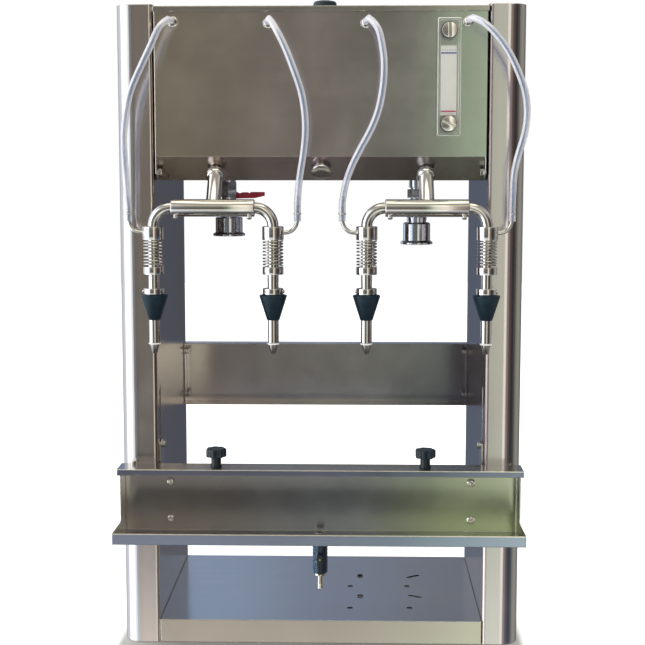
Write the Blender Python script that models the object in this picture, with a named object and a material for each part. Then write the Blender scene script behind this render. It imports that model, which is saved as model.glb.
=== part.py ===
"""Four-spout gravity bottle filler in folded stainless sheet, as separate named pieces.

Metres, +Z up, -Y is the operator's side, +X is the operator's right. The origin is at the middle
of the footprint, on the ground. "Depth" below is measured backwards from the front face of the
columns, so a negative depth is nearer the operator.
"""

import math

import bmesh
import bpy
from mathutils import Matrix, Vector
from mathutils.geometry import interpolate_bezier

# ---------------------------------------------------------------- driving dimensions
MM = 0.001
GAP = 0.3 * MM  # between one piece and the next
SHEET = 1.5 * MM  # folded stainless sheet
FRONT_Y = -0.111  # front face of the columns
DEPTH = 0.336  # front face to rear edge of the columns

COLUMN_OUT = 0.2865  # outer face of each column from the middle
COLUMN_IN = 0.2337  # inner face
COLUMN_H = 0.913
COLUMN_CORNER = 0.027
COLUMN_BEND = 0.005
COLUMN_RETURN = 0.012  # rear fold of each column wall

RACK_DEPTH = 0.032  # middle of the notched slot in each inner wall
RACK_WIDTH = 0.010
RACK_FOOT = 0.190
RACK_PITCH = 0.0118
RACK_NOTCHES = 15
NOTCH_R = 0.0042

INNER_X = COLUMN_IN - 0.4 * MM  # pieces fitted between the columns end here

BASE_H = 0.0339
BASE_DEPTH = 0.334

BAR_Z = (0.297, 0.399)
BAR_FLANGE = 0.025

TANK_X = 0.2315
TANK_BACK = 0.331  # depth of the tank's rear wall
TANK_TOP = 0.9088
TANK_SHOULDER = 0.7034  # bottom of the front panel
TANK_FLOOR = 0.6698
TANK_SLANT = TANK_SHOULDER - TANK_FLOOR  # the lower front edge is cut back at 45 degrees
EAR = 0.024  # bolt ears below the slanted face

LID_TOP = 0.9103
LID_SKIRT = 0.0076
LID_X = 0.2332
LID_SHEET = 1.2 * MM
LID_FRONT = -0.002
LID_BACK = 0.3332
LID_KNOB = (0.0025, 0.166)  # x and depth
LID_KNOB_R = 0.018
LID_KNOB_H = 0.025

GAUGE_X = 0.1777
GAUGE_Z = 0.8122
GAUGE_SIZE = (0.032, 0.014, 0.1608)
SCALE_SIZE = (0.022, 0.0012, 0.0955)
SCALE_Z = 0.8080
SCALE_POCKET = 0.0024

BARBS = ((-0.2045, 0.8885), (-0.0720, 0.8867), (0.0630, 0.8867), (0.2035, 0.8885))
BARB_REACH = 0.020

SPOUT_DEPTH = -0.032  # the spout line stands in front of the columns
MANIFOLD_X = 0.1480
MANIFOLD_Z = 0.6327
MANIFOLD_R = 0.0121
MANIFOLD_HALF = 0.0576
STUB_R = 0.0103
SPOUT_OFFSET = 0.0831  # a spout's axis from the middle of its manifold
ELBOW_R = 0.00775

HEAD_R = 0.0148
COLLAR_R = 0.0144
HEAD_Z = (0.5887, 0.6072)
HEAD_BORE_R = 0.0080
HEAD_ROOF = 0.0020
CORE_R = 0.0052
SLEEVE_R = 0.0076
SLEEVE_BORE_R = 0.0057
SLEEVE_TOP = 0.5905
SPRING_COLLAR = (0.5409, 0.5513)
CONE_COLLAR = (0.5124, 0.5214)
SLEEVE_END = 0.4450
CONE_R = (0.00875, 0.0191)
CONE_FOOT = 0.4770
SEAL_R = 0.0082
SEAL_H = 0.0017
TIP_R = (0.0070, 0.0035)
TIP_END = 0.4297
SPRING_R = 0.0133
SPRING_WIRE = 0.0011
SPRING_TURNS = 8
VENT_R = 0.0027
VENT_PATH = ((0.0120, 0.5984), (0.0210, 0.5992), (0.0280, 0.6030), (0.0325, 0.6100), (0.0340, 0.6180))
VENT_COLLAR = (0.6170, 0.6235)
VENT_COLLAR_R = 0.0042

HOSE_R = 0.00475
HOSE_POINTS = 36
# Where each vent hose hangs between its panel barb and its spout: x, depth, z.
HOSE_ROUTES = (
    (
        (-0.2070, -0.031, 0.8895),
        (-0.2184, -0.043, 0.8766),
        (-0.2295, -0.050, 0.8507),
        (-0.2414, -0.054, 0.8249),
        (-0.2544, -0.056, 0.7955),
        (-0.2608, -0.056, 0.7719),
        (-0.2656, -0.054, 0.7405),
        (-0.2668, -0.050, 0.7087),
        (-0.2659, -0.046, 0.6768),
        (-0.2655, -0.038, 0.6507),
    ),
    (
        (-0.0690, -0.031, 0.8895),
        (-0.0589, -0.044, 0.8743),
        (-0.0466, -0.051, 0.8502),
        (-0.0348, -0.055, 0.8207),
        (-0.0248, -0.056, 0.7913),
        (-0.0200, -0.055, 0.7639),
        (-0.0191, -0.051, 0.7363),
        (-0.0223, -0.047, 0.7048),
        (-0.0276, -0.042, 0.6728),
        (-0.0306, -0.034, 0.6427),
    ),
    (
        (0.0675, -0.031, 0.8900),
        (0.0797, -0.043, 0.8740),
        (0.0856, -0.050, 0.8480),
        (0.0877, -0.054, 0.8244),
        (0.0858, -0.056, 0.7950),
        (0.0800, -0.056, 0.7656),
        (0.0702, -0.054, 0.7402),
        (0.0564, -0.050, 0.7147),
        (0.0444, -0.046, 0.6908),
        (0.0364, -0.039, 0.6689),
        (0.0314, -0.034, 0.6430),
    ),
    (
        (0.2085, -0.031, 0.8905),
        (0.2238, -0.043, 0.8813),
        (0.2411, -0.050, 0.8632),
        (0.2569, -0.054, 0.8396),
        (0.2687, -0.056, 0.8142),
        (0.2770, -0.056, 0.7909),
        (0.2806, -0.054, 0.7636),
        (0.2786, -0.050, 0.7362),
        (0.2715, -0.046, 0.7086),
        (0.2662, -0.040, 0.6828),
        (0.2652, -0.034, 0.6490),
    ),
)

OUTLET_X = -0.1405
INLET_X = 0.1405
PORT_DEPTH = 0.130
FERRULE_R = 0.0241
FLOAT_Z = 0.848
FLOAT_R = 0.038
FLOAT_ARM = 0.150
FLOAT_DROOP = 25  # degrees below level, with the tank empty

SHELF_X = 0.2820
SHELF_TOP = 0.2639
SHELF_FOOT = 0.1666  # underside of the floor where it meets the back plate
FLANGE_DEPTH = 0.0417
TRAY_REACH = 0.1138
TRAY_FRONT_FOOT = 0.1769
TRAY_LIP = 0.0153
SIDE_TOP = 0.1902  # where a tray side meets its flange

LEDGE_X = 0.2860
LEDGE_TOP = 0.2657
LEDGE_SKIRT = 0.0087
LEDGE_REACH = 0.0435
KNOB_X = 0.1483
KNOB_DEPTH = -0.020
KNOB_R = 0.0148
KNOB_Z = (0.2798, 0.2925)
KNOB_LOBES = 7
KNOB_HUB_R = 0.0070

BRACKET_FOOT = 0.178
BRACKET_TOP = 0.2900
BRACKET_DEPTH = 0.045
BRACKET_FLANGE = 0.030
PIN_Z = 0.2880
PIN_R = 0.0038

DRAIN_DEPTH = -0.018
DRAIN_R = 0.0109
DRAIN_Z = (0.1120, 0.1660)
DRAIN_AXIS_Z = 0.1310

SPOUTS = tuple(
    (side * MANIFOLD_X + end * SPOUT_OFFSET, side) for side in (-1, 1) for end in (-1, 1)
)


# ---------------------------------------------------------------- helpers
def y_of(depth):
    return FRONT_Y + depth


def material(name, colour, metallic, roughness):
    m = bpy.data.materials.new(name)
    m.use_nodes = True
    shader = m.node_tree.nodes["Principled BSDF"]
    shader.inputs["Base Color"].default_value = (*colour, 1)
    shader.inputs["Metallic"].default_value = metallic
    shader.inputs["Roughness"].default_value = roughness
    return m


def new_object(name, data, look=None, parent=None):
    o = bpy.data.objects.new(name, data)
    bpy.context.scene.collection.objects.link(o)
    if look:
        data.materials.append(material(f"{name}_look", *look))
    if parent:
        o.parent = parent
        o.matrix_parent_inverse = parent.matrix_world.inverted()
    return o


def mesh_of(name, verts, faces):
    mesh = bpy.data.meshes.new(name)
    bm = bmesh.new()
    points = [bm.verts.new(v) for v in verts]
    for f in faces:
        bm.faces.new([points[i] for i in f])
    bmesh.ops.recalc_face_normals(bm, faces=bm.faces)
    bm.to_mesh(mesh)
    bm.free()
    return mesh


def soften(mesh, degrees=35):
    mesh.shade_smooth()
    mesh.set_sharp_from_angle(angle=math.radians(degrees))
    return mesh


def prism(name, outline, axis, low, high):
    """A closed outline swept straight along an axis; the outline holds the other two axes in order."""
    k = "xyz".index(axis)

    def place(p, along):
        v = list(p)
        v.insert(k, along)
        return v

    n = len(outline)
    verts = [place(p, low) for p in outline] + [place(p, high) for p in outline]
    sides = [(i, (i + 1) % n, n + (i + 1) % n, n + i) for i in range(n)]
    return mesh_of(name, verts, [tuple(range(n))[::-1], tuple(range(n, 2 * n)), *sides])


def block(name, x, y, z):
    return prism(name, [(x[0], y[0]), (x[1], y[0]), (x[1], y[1]), (x[0], y[1])], "z", *z)


def lathe(name, profile, segments=20):
    """A body turned about Z. The profile is (radius, z) points; radius 0 closes an end on the axis."""
    verts, rings = [], []
    for r, z in profile:
        count = segments if r > 0 else 1
        start = len(verts)
        for i in range(count):
            a = 2 * math.pi * i / segments
            verts.append((r * math.cos(a), r * math.sin(a), z))
        rings.append((start, count))
    closed = profile[0][0] > 0 and profile[-1][0] > 0
    pairs = list(zip(rings, rings[1:]))
    if closed:
        pairs.append((rings[-1], rings[0]))
    faces = []
    for (a, na), (b, nb) in pairs:
        for i in range(segments):
            j = (i + 1) % segments
            if na == 1:
                faces.append((a, b + j, b + i))
            elif nb == 1:
                faces.append((a + i, a + j, b))
            else:
                faces.append((a + i, a + j, b + j, b + i))
    return soften(mesh_of(name, verts, faces))


def tube(name, path, radius, sides=12, first=None, last=None):
    """A solid round bar along a list of points. Its flat ends may be given a direction to face."""
    points = [Vector(p) for p in path]
    ways = []
    for i in range(len(points)):
        ways.append((points[min(i + 1, len(points) - 1)] - points[max(i - 1, 0)]).normalized())
    ways[0] = Vector(first) if first else ways[0]
    ways[-1] = Vector(last) if last else ways[-1]
    across = ways[0].orthogonal().normalized()
    verts = []
    for p, way in zip(points, ways):
        across = (across - way * across.dot(way)).normalized()
        other = way.cross(across)
        for k in range(sides):
            a = 2 * math.pi * k / sides
            verts.append(p + radius * (math.cos(a) * across + math.sin(a) * other))
    n = len(points)
    faces = [tuple(range(sides))[::-1], tuple((n - 1) * sides + k for k in range(sides))]
    for i in range(n - 1):
        for k in range(sides):
            m = (k + 1) % sides
            faces.append(
                (i * sides + k, i * sides + m, (i + 1) * sides + m, (i + 1) * sides + k)
            )
    return soften(mesh_of(name, verts, faces))


def smooth_path(points, count):
    """A curve through the points, as count points evenly spaced along it."""
    points = [Vector(p) for p in points]
    dense = []
    for i in range(len(points) - 1):
        before, a = points[max(i - 1, 0)], points[i]
        b, after = points[i + 1], points[min(i + 2, len(points) - 1)]
        piece = interpolate_bezier(a, a + (b - before) / 6, b - (after - a) / 6, b, 24)
        dense += piece if not dense else piece[1:]
    along = [0.0]
    for a, b in zip(dense, dense[1:]):
        along.append(along[-1] + (b - a).length)
    out, k = [], 0
    for i in range(count):
        target = along[-1] * i / (count - 1)
        while k < len(along) - 2 and along[k + 1] < target:
            k += 1
        t = (target - along[k]) / (along[k + 1] - along[k])
        out.append(dense[k].lerp(dense[k + 1], t))
    return out


def arc(centre, radius, start, stop, count):
    out = []
    for i in range(count + 1):
        a = math.radians(start + (stop - start) * i / count)
        out.append((centre[0] + radius * math.cos(a), centre[1] + radius * math.sin(a)))
    return out


def moved(mesh, matrix):
    mesh.transform(matrix)
    return mesh


def combine(host, tool, operation):
    """Cuts a tool mesh from a piece, or joins it on; the tool stays as a hidden guide."""
    guide = new_object(tool.name, tool)
    guide.hide_render = True
    guide.display_type = "WIRE"
    m = host.modifiers.new(tool.name, "BOOLEAN")
    m.operation = operation
    m.solver = "EXACT"
    m.object = guide
    return guide


def cut(host, tool):
    return combine(host, tool, "DIFFERENCE")


def join(host, tool):
    return combine(host, tool, "UNION")


def merged(name, meshes):
    """Separate shells as one tool mesh."""
    bm = bmesh.new()
    for m in meshes:
        bm.from_mesh(m)
    mesh = bpy.data.meshes.new(name)
    bm.to_mesh(mesh)
    bm.free()
    return mesh


STEEL = ((0.62, 0.60, 0.56), 1.0, 0.32)
POLISHED = ((0.72, 0.71, 0.69), 1.0, 0.16)
RUBBER = ((0.02, 0.022, 0.03), 0.0, 0.55)
BLACK = ((0.03, 0.03, 0.032), 0.0, 0.4)
CLEAR = ((0.85, 0.88, 0.90), 0.0, 0.1)
WHITE = ((0.85, 0.85, 0.84), 0.0, 0.4)
RED = ((0.45, 0.02, 0.06), 0.0, 0.35)

for o in list(bpy.data.objects):
    bpy.data.objects.remove(o, do_unlink=True)


# ---------------------------------------------------------------- frame
def column_outline(side, inset):
    """Plan of a column: a large bend at the outer front corner and a small one at the inner."""
    big, small = COLUMN_CORNER - inset, COLUMN_BEND - inset
    inner, outer = COLUMN_IN + inset, COLUMN_OUT - inset
    front, back = y_of(inset), y_of(DEPTH - inset)
    points = [(inner, back)]
    points += arc((inner + small, front + small), small, 180, 270, 5)
    points += arc((outer - big, front + big), big, 270, 360, 12)
    points.append((outer, back))
    return [(side * x, y) for x, y in points]


def rack_outline():
    """The slot in a column's inner wall, with pin notches along its front edge: y, z."""
    front, back = y_of(RACK_DEPTH - RACK_WIDTH / 2), y_of(RACK_DEPTH + RACK_WIDTH / 2)
    top = RACK_FOOT + RACK_PITCH * (RACK_NOTCHES + 0.5)
    points = [(front, top), (back, top), (back, RACK_FOOT), (front, RACK_FOOT)]
    for i in range(RACK_NOTCHES):
        middle = RACK_FOOT + RACK_PITCH * (i + 0.75)
        points += arc((front, middle), NOTCH_R, 270, 90, 6)
    return points


for side, word in ((-1, "left"), (1, "right")):
    column = new_object(
        f"column_{word}",
        soften(prism("column", column_outline(side, 0), "z", 0, COLUMN_H), 50),
        STEEL,
    )
    cut(column, prism("column_hollow", column_outline(side, SHEET), "z", -0.01, COLUMN_H - SHEET))
    mouth = sorted(side * x for x in (COLUMN_IN + COLUMN_RETURN, COLUMN_OUT - COLUMN_RETURN))
    cut(column, block("column_mouth", mouth, (y_of(DEPTH - 0.004), y_of(DEPTH + 0.01)),
                      (-0.01, COLUMN_H - SHEET)))
    wall = sorted(side * x for x in (COLUMN_IN - 0.002, COLUMN_IN + 0.004))
    cut(column, prism("rack_slot", rack_outline(), "x", *wall))

base = new_object(
    "base_pan",
    block("base_pan", (-INNER_X, INNER_X), (y_of(0.0005), y_of(BASE_DEPTH)), (0, BASE_H)),
    STEEL,
)
inside = INNER_X - SHEET
cut(base, block("base_hollow", (-inside, inside),
                (y_of(0.0005 + SHEET), y_of(BASE_DEPTH - SHEET)), (-0.01, BASE_H - SHEET)))


def slot_tool(x, depth, length, width, turn):
    """A round-ended slot through the base top, its length along Y before it is turned."""
    run = (length - width) / 2
    outline = arc((0, run), width / 2, 0, 180, 8) + arc((0, -run), width / 2, 180, 360, 8)
    tool = prism("slot", outline, "z", BASE_H - 0.01, BASE_H + 0.01)
    turned = Matrix.Translation((x, y_of(depth), 0)) @ Matrix.Rotation(math.radians(turn), 4, "Z")
    return moved(tool, turned)


slots = [slot_tool(x, depth, 0.020, 0.009, 0) for x, depth in ((0.0578, 0.2208), (0.0578, 0.1153))]
slots += [
    slot_tool(x, depth, 0.0105, 0.0088, 0)
    for x, depth in ((0.0425, 0.1667), (0.0425, 0.0595), (0.1314, 0.1684), (0.1314, 0.0612))
]
slots += [
    slot_tool(0.1426, 0.2210, 0.0255, 0.007, -52),
    slot_tool(0.1418, 0.1170, 0.0225, 0.007, 61),
]
cut(base, merged("base_slots", slots))

bar = new_object(
    "back_bar",
    block("back_bar", (-INNER_X, INNER_X), (y_of(DEPTH - BAR_FLANGE), y_of(DEPTH)), BAR_Z),
    STEEL,
)
cut(bar, block("bar_hollow", (-inside, inside),
               (y_of(DEPTH - BAR_FLANGE - 0.01), y_of(DEPTH - SHEET)),
               (BAR_Z[0] + SHEET, BAR_Z[1] - SHEET)))


# ---------------------------------------------------------------- tank
def tank_outline(inset, top):
    """Side of the tank: y, z. Its lower front edge is cut back at 45 degrees."""
    step = inset * math.tan(math.radians(22.5))
    front, floor = inset, TANK_FLOOR + inset
    return [
        (y_of(front), TANK_SHOULDER + step),
        (y_of(front), top),
        (y_of(TANK_BACK - inset), top),
        (y_of(TANK_BACK - inset), floor),
        (y_of(TANK_SLANT + step), floor),
    ]


def on_slant(x, rise=0.0):
    """A frame on the middle of the slanted face, its Z pointing out of the tank."""
    middle = ((TANK_SLANT / 2 - rise), (TANK_SHOULDER + TANK_FLOOR) / 2 + rise)
    spot = Matrix.Translation((x, y_of(middle[0]), middle[1]))
    return spot @ Matrix.Rotation(math.radians(135), 4, "X")


tank = new_object(
    "tank", prism("tank", tank_outline(0, TANK_TOP), "x", -TANK_X, TANK_X), STEEL
)
cut(tank, prism("tank_hollow", tank_outline(SHEET, TANK_TOP + 0.01), "x",
                -TANK_X + SHEET, TANK_X - SHEET))
ears = []
for side in (-1, 1):
    wall = sorted(side * x for x in (TANK_X, TANK_X - SHEET))
    corner = [
        (y_of(0), TANK_SHOULDER + 0.0006),
        (y_of(TANK_SLANT - 0.0006), TANK_FLOOR),
        (y_of(TANK_SLANT - EAR), TANK_FLOOR),
        (y_of(0), TANK_SHOULDER - EAR),
    ]
    ears.append(prism("tank_ear", corner, "x", *wall))
for ear in ears:
    join(tank, ear)

bores = [
    moved(lathe("bore", [(0, -0.01), (0.008, -0.01), (0.008, 0.01), (0, 0.01)], 20), place)
    for place in (
        on_slant(-MANIFOLD_X),
        on_slant(MANIFOLD_X),
        Matrix.Translation((OUTLET_X, y_of(PORT_DEPTH), TANK_FLOOR)),
        Matrix.Translation((INLET_X, y_of(PORT_DEPTH), TANK_FLOOR)),
    )
]
cut(tank, merged("tank_bores", bores))

lid = new_object(
    "tank_lid",
    block("tank_lid", (-LID_X, LID_X), (y_of(LID_FRONT), y_of(LID_BACK)),
          (LID_TOP - LID_SKIRT, LID_TOP)),
    STEEL,
)
cut(lid, block("lid_hollow", (-LID_X + LID_SHEET, LID_X - LID_SHEET),
               (y_of(LID_FRONT + LID_SHEET), y_of(LID_BACK - LID_SHEET)),
               (LID_TOP - LID_SKIRT - 0.01, LID_TOP - LID_SHEET)))

dome = arc((0, 0), 1, 0, 90, 5)
knob_profile = [(0, 0), (LID_KNOB_R - 0.001, 0), (LID_KNOB_R, 0.001)]
knob_profile += [
    (LID_KNOB_R - 0.003 + 0.003 * c, LID_KNOB_H - 0.006 + 0.003 * s) for c, s in dome
]
knob_profile += [(LID_KNOB_R - 0.007, LID_KNOB_H - 0.0012), (0, LID_KNOB_H)]
lid_knob = new_object("lid_knob", lathe("lid_knob", knob_profile), BLACK)
lid_knob.location = (LID_KNOB[0], y_of(LID_KNOB[1]), LID_TOP + GAP)

plug_profile = [(0, 0), (0.0105, 0), (0.0090, 0.0035), (0.0138, 0.0048), (0.0140, 0.0095),
                (0.0135, 0.0100), (0, 0.0100)]
plug = new_object("tank_plug", lathe("tank_plug", plug_profile), POLISHED)
plug.matrix_world = on_slant(0.0008, 0.0010) @ Matrix.Translation((0, 0, GAP))

# ---------------------------------------------------------------- level gauge and vent barbs
width, thick, tall = GAUGE_SIZE
face = y_of(0) - GAP
end_r = 0.0022
plan = arc((width / 2 - end_r, tall / 2 - end_r), end_r, 0, 90, 4)
plan += arc((-width / 2 + end_r, tall / 2 - end_r), end_r, 90, 180, 4)
plan += arc((-width / 2 + end_r, -tall / 2 + end_r), end_r, 180, 270, 4)
plan += arc((width / 2 - end_r, -tall / 2 + end_r), end_r, 270, 360, 4)
gauge_plan = [(GAUGE_X + x, GAUGE_Z + z) for x, z in plan]
gauge = new_object("gauge_body", prism("gauge_body", gauge_plan, "y", face - thick, face), CLEAR)
half_w, half_h = SCALE_SIZE[0] / 2, SCALE_SIZE[2] / 2
clear = 2 * GAP
cut(gauge, block("gauge_pocket", (GAUGE_X - half_w - clear, GAUGE_X + half_w + clear),
                 (face - SCALE_POCKET, face + 0.01),
                 (SCALE_Z - half_h - clear, SCALE_Z + half_h + clear)))
new_object(
    "gauge_scale",
    block("gauge_scale", (GAUGE_X - half_w, GAUGE_X + half_w),
          (face - GAP - SCALE_SIZE[1], face - GAP), (SCALE_Z - half_h, SCALE_Z + half_h)),
    WHITE,
)

barb_profile = [(0, 0), (0.0075, 0), (0.0075, 0.004), (0.0056, 0.0045), (0.0056, BARB_REACH),
                (0, BARB_REACH)]
barb_mesh = lathe("panel_barb", barb_profile)
barb_mesh.materials.append(material("panel_barb_look", *POLISHED))
for i, (x, z) in enumerate(BARBS, 1):
    barb = new_object(f"panel_barb_{i}", barb_mesh)
    barb.matrix_world = Matrix.Translation((x, face, z)) @ Matrix.Rotation(math.pi / 2, 4, "X")

# ---------------------------------------------------------------- manifolds
stub_from = on_slant(0).translation
stub_to = Vector((0, y_of(SPOUT_DEPTH), MANIFOLD_Z))
stub_way = (stub_to - stub_from).normalized()
stub_length = (stub_to - stub_from).length
stub_turn = stub_way.to_track_quat("Z", "Y").to_matrix().to_4x4()
for side, word in ((-1, "left"), (1, "right")):
    body = lathe("manifold", [(0, -MANIFOLD_HALF), (MANIFOLD_R - 0.0015, -MANIFOLD_HALF),
                              (MANIFOLD_R, -MANIFOLD_HALF + 0.0015),
                              (MANIFOLD_R, MANIFOLD_HALF - 0.0015),
                              (MANIFOLD_R - 0.0015, MANIFOLD_HALF), (0, MANIFOLD_HALF)])
    middle = Vector((side * MANIFOLD_X, y_of(SPOUT_DEPTH), MANIFOLD_Z))
    moved(body, Matrix.Translation(middle) @ Matrix.Rotation(math.pi / 2, 4, "Y"))
    manifold = new_object(f"manifold_{word}", body, POLISHED)
    collar = [(0, 0.0006), (0.0085, 0.0006), (0.0120, 0.0065), (0.0136, 0.0120), (0.0136, 0.0165),
              (0.0122, 0.0185), (STUB_R, 0.0187), (STUB_R, stub_length), (0, stub_length)]
    start = Matrix.Translation(stub_from + Vector((side * MANIFOLD_X, 0, 0)))
    join(manifold, moved(lathe("stub", collar), start @ stub_turn))

# ---------------------------------------------------------------- spouts
bend = SPOUT_OFFSET - MANIFOLD_HALF - GAP


def elbow(end):
    """A quarter bend from a manifold's end down to a spout's head, about the spout's axis."""
    drop = MANIFOLD_Z - HEAD_Z[1] - GAP
    path = []
    for i in range(11):
        a = math.radians(9 * i)
        path.append((end * bend * (math.sin(a) - 1), 0, drop * math.cos(a) + HEAD_Z[1] + GAP))
    return tube("elbow", path, ELBOW_R, 16, first=(end, 0, 0), last=(0, 0, -1))


def head_profile():
    low, high = HEAD_Z
    roof, hole = high - HEAD_ROOF, CORE_R + 2 * GAP
    return [(HEAD_BORE_R, low), (HEAD_R - 0.0006, low), (HEAD_R, low + 0.0006),
            (HEAD_R, high - 0.0006), (HEAD_R - 0.0006, high), (hole, high), (hole, roof),
            (HEAD_BORE_R, roof)]


core_profile = [(0, TIP_END), (TIP_R[1], TIP_END), (TIP_R[0], SLEEVE_END - GAP - SEAL_H),
                (SEAL_R, SLEEVE_END - GAP - SEAL_H), (SEAL_R, SLEEVE_END - GAP),
                (CORE_R, SLEEVE_END - GAP), (CORE_R, HEAD_Z[1] - GAP), (0, HEAD_Z[1] - GAP)]


def flanged(z, radius):
    low, high = z
    edge = 0.0006
    return [(SLEEVE_R, low), (radius - edge, low), (radius, low + edge), (radius, high - edge),
            (radius - edge, high), (SLEEVE_R, high)]


sleeve_profile = [(SLEEVE_BORE_R, SLEEVE_END), (SLEEVE_R, SLEEVE_END)]
sleeve_profile += flanged(CONE_COLLAR, COLLAR_R) + flanged(SPRING_COLLAR, COLLAR_R)
sleeve_profile += [(SLEEVE_R, SLEEVE_TOP), (SLEEVE_BORE_R, SLEEVE_TOP)]

cone_bore = SLEEVE_R + GAP
cone_top = CONE_COLLAR[0] - GAP
cone_profile = [(cone_bore, CONE_FOOT), (CONE_R[0], CONE_FOOT), (CONE_R[1], cone_top - 0.0030),
                (CONE_R[1], cone_top), (cone_bore, cone_top)]


def spring_mesh():
    low, high = SPRING_COLLAR[1] + GAP + SPRING_WIRE, HEAD_Z[0] - GAP - SPRING_WIRE
    steps = 12 * SPRING_TURNS
    path = []
    for i in range(steps + 1):
        a = 2 * math.pi * SPRING_TURNS * i / steps
        path.append((SPRING_R * math.cos(a), SPRING_R * math.sin(a), low + (high - low) * i / steps))
    return tube("spring", path, SPRING_WIRE, 5)


def vent_mesh(out):
    path = smooth_path([(out * x, 0, z) for x, z in VENT_PATH], 12)
    return tube("vent_tube", path, VENT_R, 10)


shared = {
    "head": (lathe("spout_head", head_profile()), POLISHED),
    "core": (lathe("spout_core", core_profile), POLISHED),
    "sleeve": (lathe("spout_sleeve", sleeve_profile), POLISHED),
    "cone": (lathe("bottle_cone", cone_profile), RUBBER),
    "spring": (spring_mesh(), STEEL),
}
for mesh, look in shared.values():
    mesh.materials.append(material(f"{mesh.name}_look", *look))

for i, (x, side) in enumerate(SPOUTS, 1):
    end = 1 if x > side * MANIFOLD_X else -1
    out = -1 if i % 2 else 1
    at = Vector((x, y_of(SPOUT_DEPTH), 0))
    bent = new_object(f"elbow_{i}", elbow(end), POLISHED)
    bent.location = at
    head = new_object(f"spout_head_{i}", shared["head"][0].copy())
    head.location = at
    for tool in (
        vent_mesh(out),
        moved(lathe("vent_collar", [(0, VENT_COLLAR[0]), (VENT_COLLAR_R, VENT_COLLAR[0]),
                                    (VENT_COLLAR_R, VENT_COLLAR[1]), (0, VENT_COLLAR[1])], 16),
              Matrix.Translation((out * VENT_PATH[-1][0], 0, 0))),
    ):
        join(head, tool).location = at
    for word in ("core", "sleeve", "cone", "spring"):
        name = "bottle_cone" if word == "cone" else f"spout_{word}"
        piece = new_object(f"{name}_{i}", shared[word][0])
        piece.location = at


# ---------------------------------------------------------------- vent hoses
for i, ((x, side), barb, route) in enumerate(zip(SPOUTS, BARBS, HOSE_ROUTES), 1):
    out = -1 if i % 2 else 1
    foot_x = x + out * VENT_PATH[-1][0]
    start, lead = [(barb[0], y_of(-BARB_REACH - 2 * GAP - d), barb[1]) for d in (0, 0.004)]
    tail, stop = [(foot_x, y_of(SPOUT_DEPTH), VENT_COLLAR[1] + GAP + d) for d in (0.008, 0)]
    middle = [(px, y_of(depth), pz) for px, depth, pz in route]
    path = [start, *smooth_path([lead, *middle, tail], HOSE_POINTS), stop]
    curve = bpy.data.curves.new(f"vent_hose_{i}", "CURVE")
    curve.dimensions = "3D"
    curve.bevel_depth = HOSE_R
    curve.bevel_resolution = 2
    curve.use_fill_caps = True
    spline = curve.splines.new("POLY")
    spline.points.add(len(path) - 1)
    for p, v in zip(spline.points, path):
        p.co = (*v, 1)
    new_object(f"vent_hose_{i}", curve, CLEAR)

# ---------------------------------------------------------------- tank outlet and inlet
def hexagon(across, first=30):
    return [(across / math.sqrt(3) * math.cos(math.radians(a)),
             across / math.sqrt(3) * math.sin(math.radians(a))) for a in range(first, first + 360, 60)]


def ferrule(foot, top, radius=0.0202):
    """The wide port with a clamp flange at its mouth, open from below."""
    lip = 0.0046
    bore = radius - 0.003
    return [(0, foot + 0.020), (bore, foot + 0.020), (bore, foot), (FERRULE_R, foot),
            (FERRULE_R, foot + lip - 0.001), (radius, foot + lip + 0.001), (radius, top)]


port_top = TANK_FLOOR - GAP
outlet_profile = ferrule(0.5858, 0.6137) + [(0.0110, 0.6150), (0.0110, 0.6420), (0.0106, 0.6440),
                                            (0.0106, port_top), (0, port_top)]
outlet = new_object("outlet_valve", lathe("outlet_valve", outlet_profile), STEEL)
outlet.location = (OUTLET_X, y_of(PORT_DEPTH), 0)
stem_y = 0.0215
join(outlet, prism("outlet_hex", hexagon(0.0218), "z", 0.6430, 0.6660)).location = outlet.location
stem = moved(lathe("outlet_stem", [(0, 0), (0.0045, 0), (0.0045, stem_y), (0, stem_y)], 16),
             Matrix.Translation((0, 0, 0.6470)) @ Matrix.Rotation(-math.pi / 2, 4, "X"))
join(outlet, stem).location = outlet.location

lever_outline = arc((0, 0), 0.0075, 60, 300, 10)
lever_outline += [(0.0138, -0.0062), (0.0374, -0.0056), (0.0516, -0.0022), (0.0516, 0.0034),
                  (0.0315, 0.0035), (0.0282, 0.0013), (0.0265, 0.0030), (0.0180, 0.0030),
                  (0.0138, 0.0012)]
lever = new_object("outlet_lever", prism("outlet_lever", lever_outline, "y", 0, 0.012), RED)
lever.location = (OUTLET_X, y_of(PORT_DEPTH) + stem_y + GAP, 0.6470)

inlet_profile = ferrule(0.5737, 0.6050) + [(0.0190, 0.6060), (0.0142, 0.6065), (0.0150, 0.6139),
                                           (0.0100, 0.6145), (0.0100, 0.6575), (0.0122, 0.6580),
                                           (0.0122, port_top), (0, port_top)]
inlet = new_object("inlet_fitting", lathe("inlet_fitting", inlet_profile), STEEL)
inlet.location = (INLET_X, y_of(PORT_DEPTH), 0)
join(inlet, prism("inlet_hex", hexagon(0.0246, 0), "z", 0.6422, 0.6556)).location = inlet.location

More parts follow.
